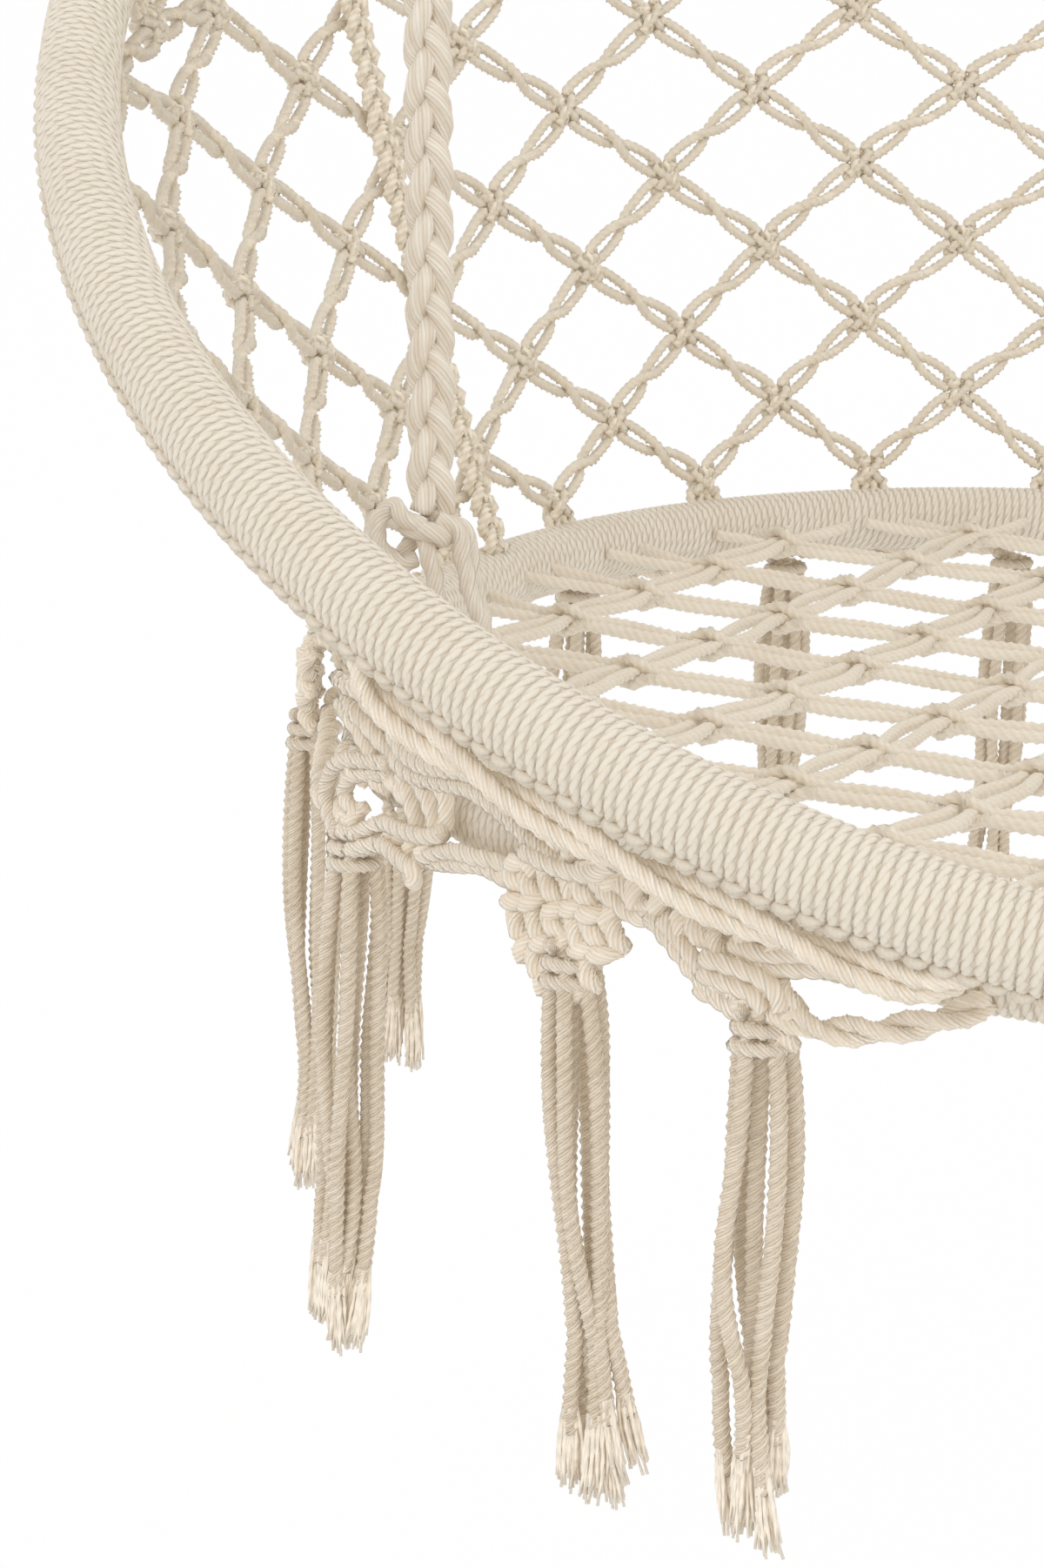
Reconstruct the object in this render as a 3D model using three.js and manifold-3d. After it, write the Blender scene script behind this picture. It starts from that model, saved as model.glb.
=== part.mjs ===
// Hanging macrame chair: two cord-wrapped steel hoops, knotted nets, a tasselled skirt and its ropes.
// Millimetres, +Z up. The origin is where a hook bears inside the hanging ring. The sitter faces -Y.

import * as THREE from "three";
import { mergeVertices } from "three/addons/utils/BufferGeometryUtils.js";
import Module from "manifold-3d";

const wasm = await Module();
wasm.setup();

// Whole chair
const seatDrop = 1150; // from the hook down to the seat hoop's plane
const balance = 46.5; // the seat hoop's middle is this far forward of the hook, which is above the centre of mass
const clearance = 0.3; // between pieces that touch
const columns = 22; // meshes of the back net round the hoops
const column = Math.PI / columns; // half a mesh, also the angle of one straight length of a hoop

// Hoops: bent steel tube, covered all round with cord
const seatHoopRadius = 286.5;
const backHoopRadius = 387;
const backTilt = THREE.MathUtils.degToRad(28.9);
const tubeRadius = 9.5;
const tubeWall = 1.2;
const tubeSeam = 0.6; // between the bent tube's two ends
const spigotLength = 60;
const wrapCord = 4; // also the wrap's thickness on the tube
const frontGap = 7; // between the two wrapped hoops at the front
const frontRise = THREE.MathUtils.degToRad(15.5); // of the line between the hoops at the front
const ridgeCord = 3.2; // radius of the row of purl beads
const ridgeTurn = THREE.MathUtils.degToRad(-30); // from the hoop's outward direction towards its underside
const hoopSides = 8;
const thinSides = 6; // of the thinner cords

// Nets: pairs of cords between flat knots
const netThickness = 5.5;
const knotHeight = 15;
const knotInset = 2; // more room for a last knot under a rope's turns, on each side of it
const knotWidthShare = 0.11; // of two columns, on either side of a knot's middle
const rearRowPitch = 32.7;
const sideRowPitch = 30;
const sideRowBase = 3;
const netColumns = 17; // the last column of the back net on each side, counted from the rear
const netPanels = 7;
const netBelly = 9; // how far the empty net swells outwards midway
const cutGap = 0.5; // between a panel's cord ends and the next panel's knots
const meshAlong = new THREE.Vector2(51, -26); // the seat net's two steps from knot to knot
const meshAcross = new THREE.Vector2(37, 39);
const meshStart = new THREE.Vector2(0, 20);
const meshKnotShare = 0.1; // of the two steps' sum and difference
const seatSag = 10;

// Ropes
const ropeRadius = 7;
const ropeSides = 8;
const ropeLean = Math.tan(THREE.MathUtils.degToRad(15)); // of the front ropes, backwards
const tieColumn = 12; // where the front ropes hold the seat hoop
const tieLength = 30;
const tieCord = 6;
const legRadius = 3.5;
const legSpread = 9;
const legShare = 0.33; // of the turns' thickness, where the legs start in them
const knotRise = 83; // middle of the front rope's wrapped knot over the seat hoop
const ropeKnotRadius = 11.5;
const ropeKnotHeight = 26;
const bridleRise = 360;
const bridleColumn = 9; // where the bridle holds the back hoop
const bridleRadius = 5;
const footShare = 0.6; // of the turns' thickness, where a rope starts in them
const collarHeight = 24;
const collarWall = 5;
const collarFlatShare = 0.6; // of the collar's height
const collarHoldShare = 0.7; // of the collar's wall, where the bridle starts in it
const collarSides = 12;
const hitchLength = 40;
const hitchCord = 6;
const bendRise = 40; // from the bridle's collar up to the bend in the front rope
const bendReach = 25;
const bendSteps = 4;
const rearColumn = 5; // where the rear ropes hold the back hoop

// Hanging ring and the ropes' head
const ringInner = 25;
const ringWire = 5;
const eyeBore = 5.6;
const eyeRadius = 8;
const eyeLeg = 34;
const eyeSteps = 20;
const bindingRadius = 24;
const bindingHeight = 90;
const bindingEdge = 4;
const bindingSides = 16;
const ropeSpread = 8;

// Braids that lie in the back net
const braidWidth = 13;
const braidThickness = 6;
const braidAngle = THREE.MathUtils.degToRad(52.5);
const braidSteps = 6;
const braidEase = 1; // between the braid and the net's knots

// Lacing between the hoops at the front
const lacingRadius = 2.4;

// Skirt and tassels, outside and under the seat hoop
const tasselDegrees = [-138, -126.5, -103, -79, -57, -36, -14.5, 6, 29.5, 54, 79, 103, 126.5, 138]; // from the rear
const skirtKnotHalf = 7; // half a knot's width
const skirtSpread = 13; // from a tassel's middle to the two knots over it
const skirtUpper = 2; // height of those knots over the hoop's plane
const skirtLower = -16; // height of the knot that the tassel hangs from
const tasselRadius = 13;
const tasselNeck = 8.5;
const tasselHead = 36;
const tasselNeckShare = 0.75; // of the head, down to the top of its neck
const tasselBellyShare = 0.3; // of the head, down to its fullest
const tasselTopShare = 0.8; // of the fullest radius, at the top
const tasselLength = 176;
const strandRadius = 3;
const strandRing = 5;
const strandSpread = 11;
const strandCount = 5;
const strandSides = 3;
const strandRoot = 6; // how far a strand starts inside the head

// Materials
const cottonLook = { color: 0xe3d8c6, roughness: 0.95, metalness: 0 };
const cotton = () => new THREE.MeshStandardMaterial(cottonLook);
const darkCotton = () => new THREE.MeshStandardMaterial({ ...cottonLook, color: 0xd9cbb5 });
const bareSteel = () => new THREE.MeshStandardMaterial({ color: 0x8c8f92, roughness: 0.45, metalness: 1 });
const ringSteel = () => new THREE.MeshStandardMaterial({ color: 0xb9bcbf, roughness: 0.3, metalness: 1 });

const wrappedRadius = tubeRadius + wrapCord;
const V = (x, y, z) => new THREE.Vector3(x, y, z);
const up = V(0, 0, 1);

const root = new THREE.Group();
const chair = new THREE.Group();
chair.position.set(0, -balance, -seatDrop);
root.add(chair);

function place(group, name, geometry, material) {
  const mesh = new THREE.Mesh(geometry, material);
  mesh.name = name;
  group.add(mesh);
  return mesh;
}

// Closed shells from points and faces

function closedShell(points, faces) {
  const geometry = new THREE.BufferGeometry().setFromPoints(points);
  let sixVolumes = 0;
  for (const [a, b, c] of faces) {
    sixVolumes += points[a].dot(points[b].clone().cross(points[c]));
  }
  const index = faces.flatMap(([a, b, c]) => (sixVolumes > 0 ? [a, b, c] : [a, c, b]));
  return geometry.setIndex(index);
}

// Rows of points joined row to row: the last row meets the first, or both ends are closed by a fan.
function loft(rings, endless) {
  const sides = rings[0].length;
  const faces = [];
  const rows = endless ? rings.length : rings.length - 1;
  for (let k = 0; k < rows; k++) {
    for (let i = 0; i < sides; i++) {
      const a = k * sides + i;
      const b = k * sides + ((i + 1) % sides);
      const c = ((k + 1) % rings.length) * sides + ((i + 1) % sides);
      const d = ((k + 1) % rings.length) * sides + i;
      faces.push([a, b, c], [a, c, d]);
    }
  }
  if (!endless) {
    const last = (rings.length - 1) * sides;
    for (let i = 1; i < sides - 1; i++) {
      faces.push([0, i + 1, i], [last, last + i, last + i + 1]);
    }
  }
  return closedShell(rings.flat(), faces);
}

function solidOf(geometry) {
  const bare = new THREE.BufferGeometry();
  bare.setAttribute("position", geometry.getAttribute("position"));
  if (geometry.index) bare.setIndex(geometry.index);
  const merged = mergeVertices(bare, clearance / 1000);
  const vertProperties = merged.attributes.position.array;
  const triVerts = new Uint32Array(merged.index.array);
  return new wasm.Manifold(new wasm.Mesh({ numProp: 3, vertProperties, triVerts }));
}

function joined(geometries) {
  let whole = solidOf(geometries[0]);
  for (const geometry of geometries.slice(1)) whole = whole.add(solidOf(geometry));
  const mesh = whole.getMesh();
  return new THREE.BufferGeometry()
    .setAttribute("position", new THREE.BufferAttribute(mesh.vertProperties, 3))
    .setIndex(new THREE.BufferAttribute(mesh.triVerts, 1));
}

function circle(radius, sides) {
  const shape = new THREE.Shape();
  for (let i = 0; i < sides; i++) {
    const turn = ((i + 0.5) / sides) * 2 * Math.PI;
    const x = radius * Math.cos(turn);
    const y = radius * Math.sin(turn);
    if (i) shape.lineTo(x, y);
    else shape.moveTo(x, y);
  }
  shape.closePath();
  return shape;
}

function ropeAlong(path, radius, sides, steps) {
  return new THREE.ExtrudeGeometry(circle(radius, sides), { steps, extrudePath: path });
}

function straightRope(from, to, radius) {
  return ropeAlong(new THREE.LineCurve3(from, to), radius, ropeSides, 1);
}

// A rope straight from point to point, with one row of corners at each point.
function ropeThrough(points, radius, sides) {
  const legs = points.slice(1).map((point, k) => point.clone().sub(points[k]).normalize());
  let normal = V(1, 0, 0);
  const rings = points.map((point, k) => {
    const way = legs[Math.max(0, k - 1)].clone().add(legs[Math.min(k, legs.length - 1)]).normalize();
    normal = normal.clone().addScaledVector(way, -normal.dot(way)).normalize();
    const binormal = way.clone().cross(normal);
    return Array.from({ length: sides }, (_, i) => {
      const turn = ((i + 0.5) / sides) * 2 * Math.PI;
      return point
        .clone()
        .addScaledVector(normal, radius * Math.cos(turn))
        .addScaledVector(binormal, radius * Math.sin(turn));
    });
  });
  return loft(rings, false);
}

// A lathed solid whose profile is [radius, height] pairs, with its axis turned along a direction.
function lathed(profile, sides, middle, direction) {
  const points = profile.map(([radius, height]) => new THREE.Vector2(radius, height));
  const geometry = new THREE.LatheGeometry(points, sides);
  geometry.applyQuaternion(new THREE.Quaternion().setFromUnitVectors(V(0, 1, 0), direction));
  return geometry.translate(middle.x, middle.y, middle.z);
}

// Hoops are polygons with their straight lengths centred on the columns, angles count from the rear.

const frontSpacing = 2 * wrappedRadius + frontGap;
const seatHoop = { radius: seatHoopRadius, tilt: 0, centre: V(0, 0, 0) };
const backHoop = {
  radius: backHoopRadius,
  tilt: backTilt,
  centre: V(
    0,
    backHoopRadius * Math.cos(backTilt) - seatHoopRadius - frontSpacing * Math.cos(frontRise),
    backHoopRadius * Math.sin(backTilt) + frontSpacing * Math.sin(frontRise),
  ),
};

function outward(hoop, angle) {
  const back = Math.cos(angle);
  return V(Math.sin(angle), back * Math.cos(hoop.tilt), back * Math.sin(hoop.tilt));
}

function axisOf(hoop) {
  return V(0, -Math.sin(hoop.tilt), Math.cos(hoop.tilt));
}

function hoopPoint(hoop, angle) {
  const fromMiddle = angle - column * Math.round(angle / column);
  const reach = (hoop.radius * Math.cos(column / 2)) / Math.cos(fromMiddle);
  return hoop.centre.clone().addScaledVector(outward(hoop, angle), reach);
}

function hoopRing(hoop, angle, radius, sides, offset = V(0, 0, 0)) {
  const centre = hoopPoint(hoop, angle).add(offset);
  const radial = outward(hoop, angle);
  const axis = axisOf(hoop);
  return Array.from({ length: sides }, (_, i) => {
    const turn = ((i + 0.5) / sides) * 2 * Math.PI;
    return centre
      .clone()
      .addScaledVector(radial, radius * Math.cos(turn))
      .addScaledVector(axis, radius * Math.sin(turn));
  });
}

// How far a hoop's many-sided tube reaches in one direction, turned from outwards towards its axis.
function faceReach(radius, turn) {
  const side = (2 * Math.PI) / hoopSides;
  const fromFlat = turn - side * Math.round(turn / side);
  return (radius * Math.cos(side / 2)) / Math.cos(fromFlat);
}

// The angles of the polygon's corners between two angles, with both ends.
function stations(from, to) {
  const list = [from];
  for (let corner = (Math.floor(from / column) + 0.5) * column; corner < to; corner += column) {
    if (corner > from) list.push(corner);
  }
  return [...list, to];
}

function sleeve(hoop, from, to, bore, radius) {
  const angles = stations(from, to);
  const outer = angles.map((angle) => hoopRing(hoop, angle, radius, hoopSides));
  const inner = angles.map((angle) => hoopRing(hoop, angle, bore, hoopSides));
  return loft([...outer, ...inner.reverse()], true);
}

function wholeSleeve(hoop, bore, radius, seam) {
  const half = seam / 2 / hoop.radius;
  return sleeve(hoop, half, 2 * Math.PI - half, bore, radius);
}

for (const [name, hoop] of [["seat_hoop", seatHoop], ["back_hoop", backHoop]]) {
  const tube = wholeSleeve(hoop, tubeRadius - tubeWall, tubeRadius, tubeSeam);
  place(chair, name + "_tube", tube, bareSteel());
  const wrap = wholeSleeve(hoop, tubeRadius + clearance, wrappedRadius, tubeSeam);
  place(chair, name + "_wrap", wrap, cotton());
  const half = spigotLength / 2 / hoop.radius;
  const plug = stations(-half, half).map((angle) =>
    hoopRing(hoop, angle, tubeRadius - tubeWall - clearance, hoopSides),
  );
  place(chair, name + "_spigot", loft(plug, false), bareSteel());
}

// The row of purl beads lies along the back hoop's outer underside, from one rope's turns to the next.
const ridgeReach = faceReach(wrappedRadius, ridgeTurn) + clearance + ridgeCord;
const ridgeEnd = (hitchLength / 2 + clearance) / backHoopRadius;

function ridge(from, to) {
  const rings = stations(from * column + ridgeEnd, to * column - ridgeEnd).map((angle) => {
    const offset = outward(backHoop, angle)
      .multiplyScalar(ridgeReach * Math.cos(ridgeTurn))
      .addScaledVector(axisOf(backHoop), ridgeReach * Math.sin(ridgeTurn));
    return hoopRing(backHoop, angle, ridgeCord, thinSides, offset);
  });
  return loft(rings, false);
}

// Netting: knots are flat four-cornered pads and each bar joins the facing sides of two knots.

class Netting {
  constructor(thickness) {
    this.half = thickness / 2;
    this.points = [];
    this.faces = [];
    this.knots = new Map();
    this.edges = new Map();
  }

  // One sheet corner becomes two points, above and below the sheet.
  corner(point, normal) {
    this.points.push(point.clone().addScaledVector(normal, this.half));
    this.points.push(point.clone().addScaledVector(normal, -this.half));
    return this.points.length - 2;
  }

  // A four-cornered patch, both faces; each of its edges is walled later unless a neighbour shares it.
  patch([a, b, c, d]) {
    this.faces.push([a, b, c], [a, c, d], [a + 1, c + 1, b + 1], [a + 1, d + 1, c + 1]);
    for (const [from, to] of [[a, b], [b, c], [c, d], [d, a]]) {
      const twin = to + "," + from;
      if (this.edges.has(twin)) this.edges.delete(twin);
      else this.edges.set(from + "," + to, [from, to]);
    }
  }

  // Corners run round the knot: towards the second step, the first step, and their opposites.
  knot(key, middle, first, second, normal) {
    const corners = [
      middle.clone().add(first),
      middle.clone().add(second),
      middle.clone().sub(first),
      middle.clone().sub(second),
    ].map((point) => this.corner(point, normal));
    this.knots.set(key, corners);
    this.patch(corners);
  }

  geometry() {
    for (const [from, to] of this.edges.values()) {
      this.faces.push([from, from + 1, to + 1], [from, to + 1, to]);
    }
    return closedShell(this.points, this.faces);
  }
}

// Back net: a ruled sheet between the hoops, swollen a little; height 0 to 1 runs up each line.

function netPoint(angle, share, inset = 0) {
  const low = hoopPoint(seatHoop, angle);
  const high = hoopPoint(backHoop, angle);
  const point = low.clone().lerp(high, share);
  const outwards = V(Math.sin(angle), Math.cos(angle), 0);
  const room = Math.max(0, high.z) / (backHoop.centre.z + backHoopRadius * Math.sin(backTilt));
  const swell = netBelly * room * 4 * share * (1 - share);
  return point.addScaledVector(outwards, swell - inset);
}

function netNormal(angle) {
  const rise = hoopPoint(backHoop, angle).sub(hoopPoint(seatHoop, angle)).normalize();
  const around = V(Math.cos(angle), -Math.sin(angle), 0);
  return rise.cross(around).normalize();
}

const seatRow = wrappedRadius + clearance + knotHeight / 2;

// The share of a line between the hoops that keeps a distance from a hoop's middle, measured square to it.
function shareFor(hoop, angle, distance) {
  const line = hoopPoint(backHoop, angle).sub(hoopPoint(seatHoop, angle));
  const tangent = axisOf(hoop).cross(outward(hoop, angle));
  const square = Math.sqrt(line.lengthSq() - line.dot(tangent) ** 2);
  return distance / square;
}

// The share of the way up at which a column's row lies, and where the column's last knot sits.
function columnOf(index) {
  const angle = index * column;
  const line = hoopPoint(backHoop, angle).sub(hoopPoint(seatHoop, angle));
  const rearness = Math.max(0, Math.cos(angle)) ** 2;
  const first = shareFor(seatHoop, angle, seatRow) * line.z;
  const base = sideRowBase + (first - sideRowBase) * rearness;
  const pitch = sideRowPitch + (rearRowPitch - sideRowPitch) * rearness;
  const row = (j) => (base + pitch * j + (first - base) * Math.exp(-j)) / line.z;
  const held = [rearColumn, bridleColumn].includes(Math.abs(index)) ? hitchCord + 2 * knotInset : 0;
  const end = 1 - shareFor(backHoop, angle, seatRow + held);
  return { angle, row, end, rows: (end * line.z - base) / pitch };
}

// Rows per column change by one from column to column, so that the last knots follow the hoop.
const lastRow = new Map([[0, 2 * Math.round((columnOf(0).rows - 1) / 2) + 1]]);
for (let index = 1; index <= netColumns; index++) {
  const before = lastRow.get(index - 1);
  const wanted = columnOf(index).rows;
  const now = Math.max(0, Math.abs(before - 1 - wanted) < Math.abs(before + 1 - wanted) ? before - 1 : before + 1);
  lastRow.set(index, now);
  lastRow.set(-index, now);
}

function netKnot(index, j) {
  const { angle, row, end } = columnOf(index);
  const share = j === lastRow.get(index) ? end : row(j);
  const middle = netPoint(angle, share);
  const around = netPoint(angle + column, share).sub(netPoint(angle - column, share));
  const rise = hoopPoint(backHoop, angle).sub(hoopPoint(seatHoop, angle)).normalize();
  return {
    middle,
    normal: netNormal(angle),
    first: around.multiplyScalar(knotWidthShare),
    second: rise.multiplyScalar(knotHeight / 2),
  };
}

const panelOf = (index) =>
  Math.floor(((index + netColumns) * netPanels) / (2 * netColumns + 1));

const panels = Array.from({ length: netPanels }, () => new Netting(netThickness));
for (let index = -netColumns; index <= netColumns; index++) {
  const net = panels[panelOf(index)];
  for (let j = Math.abs(index + 1) % 2; j <= lastRow.get(index); j += 2) {
    const { middle, first, second, normal } = netKnot(index, j);
    net.knot(index + "," + j, middle, first, second, normal);
  }
}

// Corner numbers in a knot: 0 right, 1 top, 2 left, 3 bottom.
for (let index = -netColumns; index < netColumns; index++) {
  const net = panels[panelOf(index)];
  const next = panels[panelOf(index + 1)];
  for (let j = Math.abs(index + 1) % 2; j <= lastRow.get(index); j += 2) {
    for (const step of [-1, 1]) {
      const here = net.knots.get(index + "," + j);
      const there = next.knots.get(index + 1 + "," + (j + step));
      if (!there) continue;
      const start = step > 0 ? [here[1], here[0]] : [here[0], here[3]];
      let finish = step > 0 ? [there[3], there[2]] : [there[2], there[1]];
      if (next !== net) {
        const far = netKnot(index + 1, j + step);
        const left = far.middle.clone().sub(far.first);
        const edge = far.middle.clone().addScaledVector(far.second, -step);
        const pull = netKnot(index, j).middle.sub(far.middle).setLength(cutGap);
        const ends = step > 0 ? [edge, left] : [left, edge];
        finish = ends.map((point) => net.corner(point.add(pull), far.normal));
      }
      net.patch([start[0], start[1], finish[0], finish[1]]);
    }
  }
}

// Seat net: a flat lattice that sags a little, its outer cords end on the seat hoop's wrap.

const seatNetReach = seatHoopRadius * Math.cos(column / 2) - faceReach(wrappedRadius, Math.PI) - clearance;
const sheet = (flat) =>
  V(flat.x, flat.y, -seatSag * (1 - flat.lengthSq() / seatNetReach ** 2));
const knotLong = meshAlong.clone().add(meshAcross).multiplyScalar(meshKnotShare);
const knotShort = meshAlong.clone().sub(meshAcross).multiplyScalar(meshKnotShare);
const knotCorners = [knotLong, knotShort, knotLong.clone().negate(), knotShort.clone().negate()];
const rimReach = seatNetReach - knotLong.length();
const dropReach = seatNetReach + meshAcross.length() / 2;

const seatNet = new Netting(netThickness);
const seatKnots = new Map();
const meshCount = Math.ceil((2 * seatHoopRadius) / meshAcross.length());
for (let i = -meshCount; i <= meshCount; i++) {
  for (let j = -meshCount; j <= meshCount; j++) {
    const flat = meshStart.clone().addScaledVector(meshAlong, i).addScaledVector(meshAcross, j);
    if (flat.length() > dropReach) continue;
    if (flat.length() > rimReach) flat.setLength(rimReach);
    seatKnots.set(i + "," + j, flat);
    const corners = knotCorners.map((corner) => seatNet.corner(sheet(flat.clone().add(corner)), up));
    seatNet.knots.set(i + "," + j, corners);
    seatNet.patch(corners);
  }
}

// The point where a cord's edge, started at a corner, meets the hoop's wrap or a rope's turns on it.
function toRim(from, direction) {
  const along = from.dot(direction);
  const at = (rim) => {
    const reach = Math.sqrt(along ** 2 + rim ** 2 - from.lengthSq());
    return from.clone().addScaledVector(direction, reach - along);
  };
  const point = at(seatNetReach);
  const fromTie = Math.abs(Math.atan2(Math.abs(point.x), point.y) - tieColumn * column);
  const tied = fromTie * seatHoopRadius < tieLength / 2 + netThickness;
  return tied ? at(seatNetReach - tieCord - clearance) : point;
}

// Corner numbers in a knot: 0 along the steps' sum, 1 their difference, then the opposites.
const sides = [
  { step: [1, 0], from: [0, 1], to: [3, 2], way: meshAlong },
  { step: [0, 1], from: [3, 0], to: [2, 1], way: meshAcross },
];
for (const [key, flat] of seatKnots) {
  const [i, j] = key.split(",").map(Number);
  for (const { step, from, to, way } of sides) {
    for (const sense of [1, -1]) {
      const here = seatNet.knots.get(key);
      const there = seatNet.knots.get(i + sense * step[0] + "," + (j + sense * step[1]));
      const mine = sense > 0 ? from : [to[1], to[0]];
      if (there && sense > 0) {
        seatNet.patch([here[mine[1]], here[mine[0]], there[to[0]], there[to[1]]]);
      } else if (!there && flat.length() < rimReach - clearance) {
        const direction = way.clone().normalize().multiplyScalar(sense);
        const [near, far] = [mine[1], mine[0]];
        const ends = [far, near].map((corner) =>
          seatNet.corner(sheet(toRim(flat.clone().add(knotCorners[corner]), direction)), up),
        );
        seatNet.patch([here[near], here[far], ends[0], ends[1]]);
      }
    }
  }
}

// Skirt: two knots and a third below them over each tassel, and a cord from each lower knot to the next.

const half = netThickness / 2;
const skirtReach = seatHoopRadius + faceReach(wrappedRadius, 0) + clearance + half;
const tiedReach = seatHoopRadius + faceReach(wrappedRadius + clearance + tieCord, 0) + clearance + half;
const tiedZone = tieLength / 2 + skirtSpread + skirtKnotHalf;

// A place on the skirt, turned from a tassel's angle by a length round the hoop.
function onSkirt(angle, shift, height) {
  const fromTie = Math.abs(Math.abs(angle) - tieColumn * column) * seatHoopRadius;
  const reach = fromTie < tiedZone ? tiedReach : skirtReach;
  const turned = angle + shift / seatHoopRadius;
  return { turned, middle: V(reach * Math.sin(turned), reach * Math.cos(turned), height) };
}

const skirt = new Netting(netThickness);
const tasselAngles = tasselDegrees.map((degrees) => THREE.MathUtils.degToRad(degrees));

tasselAngles.forEach((angle, k) => {
  for (const [row, shift, height] of [
    ["left", -skirtSpread, skirtUpper],
    ["low", 0, skirtLower],
    ["right", skirtSpread, skirtUpper],
  ]) {
    const { turned, middle } = onSkirt(angle, shift, height);
    const around = V(Math.cos(turned), -Math.sin(turned), 0).multiplyScalar(skirtKnotHalf);
    const outwards = V(Math.sin(turned), Math.cos(turned), 0);
    skirt.knot(row + k, middle, around, V(0, 0, knotHeight / 2), outwards);
  }
});
tasselAngles.forEach((_, k) => {
  const [left, low, right, after] = ["left" + k, "low" + k, "right" + k, "low" + (k + 1)].map((key) =>
    skirt.knots.get(key),
  );
  skirt.patch([left[0], left[3], low[2], low[1]]);
  skirt.patch([low[1], low[0], right[3], right[2]]);
  if (after) skirt.patch([low[0], low[3], after[3], after[2]]); // the front, past the last tassel, is left open
});

// Tassels: a knotted head and loose strands, fused where the head grips them.

function tassel(angle) {
  const top = onSkirt(angle, 0, skirtLower - knotHeight / 2 - clearance).middle;
  const profile = [
    [0, -tasselHead],
    [tasselNeck, -tasselHead],
    [tasselNeck, -tasselHead * tasselNeckShare],
    [tasselRadius, -tasselHead * tasselBellyShare],
    [tasselRadius * tasselTopShare, 0],
    [0, 0],
  ];
  const head = lathed(profile, hoopSides, top, up);
  const strands = Array.from({ length: strandCount }, (_, i) => {
    const turn = angle + (i / strandCount) * 2 * Math.PI;
    const ring = (reach, drop) =>
      Array.from({ length: strandSides }, (_, corner) => {
        const spin = turn + (corner / strandSides) * 2 * Math.PI;
        return top
          .clone()
          .add(V(reach * Math.cos(turn), reach * Math.sin(turn), -drop))
          .add(V(strandRadius * Math.cos(spin), strandRadius * Math.sin(spin), 0));
      });
    const rings = [
      ring(strandRing, tasselHead - strandRoot),
      ring(strandRing, tasselHead),
      ring(strandSpread, tasselLength),
    ];
    return loft(rings, false);
  });
  return joined([head, ...strands]);
}

// Front rope's tie to the seat hoop: turns round the hoop, two legs and the wrapped knot.

const ropeWay = V(0, ropeLean, 1).normalize();

function onFrontRope(side, rise) {
  const foot = hoopPoint(seatHoop, side * tieColumn * column);
  return foot.addScaledVector(ropeWay, rise / ropeWay.z);
}

function ropeTie(side) {
  const angle = side * tieColumn * column;
  const half = tieLength / 2 / seatHoopRadius;
  const bore = wrappedRadius + clearance;
  const turns = sleeve(seatHoop, angle - half, angle + half, bore, bore + tieCord);
  const knotMiddle = onFrontRope(side, knotRise);
  const knot = lathed(
    [
      [0, -ropeKnotHeight / 2],
      [ropeRadius, -ropeKnotHeight / 2],
      [ropeKnotRadius, -ropeKnotHeight / 4],
      [ropeKnotRadius, ropeKnotHeight / 4],
      [ropeRadius, ropeKnotHeight / 2],
      [0, ropeKnotHeight / 2],
    ],
    hoopSides,
    knotMiddle,
    ropeWay,
  );
  const legs = [-1, 1].map((way) => {
    const foot = hoopPoint(seatHoop, angle)
      .addScaledVector(outward(seatHoop, angle), way * legSpread)
      .add(V(0, 0, bore + tieCord * legShare));
    return straightRope(foot, knotMiddle, legRadius);
  });
  return joined([turns, knot, ...legs]);
}

// Front rope: plumb to the front, leaning back up to the bridle, then bent in to the binding.

const ringRadius = ringInner + ringWire;
const pivotDrop = ringInner + ringRadius; // from the hook down to the middle of the ring's lower bar
const bindingTop = pivotDrop + eyeLeg + clearance;
const bindingFoot = seatDrop - bindingTop - bindingHeight; // over the seat hoop's plane

function underBinding(side, sense, towards) {
  const point = V(side * ropeSpread, balance + sense * ropeSpread, bindingFoot);
  const way = towards.clone().sub(point).normalize();
  const drop = ropeRadius * Math.hypot(way.x, way.y) + clearance;
  return point.addScaledVector(way, drop / -way.z);
}

function frontRope(side) {
  const start = onFrontRope(side, knotRise).addScaledVector(ropeWay, ropeKnotHeight / 2 + clearance);
  const bend = onFrontRope(side, bridleRise + bendRise);
  const finish = underBinding(side, -1, bend);
  const inwards = finish.clone().sub(bend).normalize();
  const below = bend.clone().addScaledVector(ropeWay, -bendReach);
  const above = bend.clone().addScaledVector(inwards, bendReach);
  const round = new THREE.QuadraticBezierCurve3(below, bend, above).getPoints(bendSteps);
  return ropeThrough([start, ...round, finish], ropeRadius, ropeSides);
}

// A hitch on the back hoop: turns of cord round the wrap.
function hitch(index) {
  const angle = index * column;
  const half = hitchLength / 2 / backHoopRadius;
  const bore = wrappedRadius + clearance;
  return sleeve(backHoop, angle - half, angle + half, bore, bore + hitchCord);
}

// The point on a hitch's turns that faces a place, half way into the turns.
function hitchFace(index, towards) {
  const middle = hoopPoint(backHoop, index * column);
  const along = axisOf(backHoop).cross(outward(backHoop, index * column));
  const way = towards.clone().sub(middle);
  way.addScaledVector(along, -way.dot(along)).normalize();
  return middle.addScaledVector(way, wrappedRadius + clearance + hitchCord * footShare);
}

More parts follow.
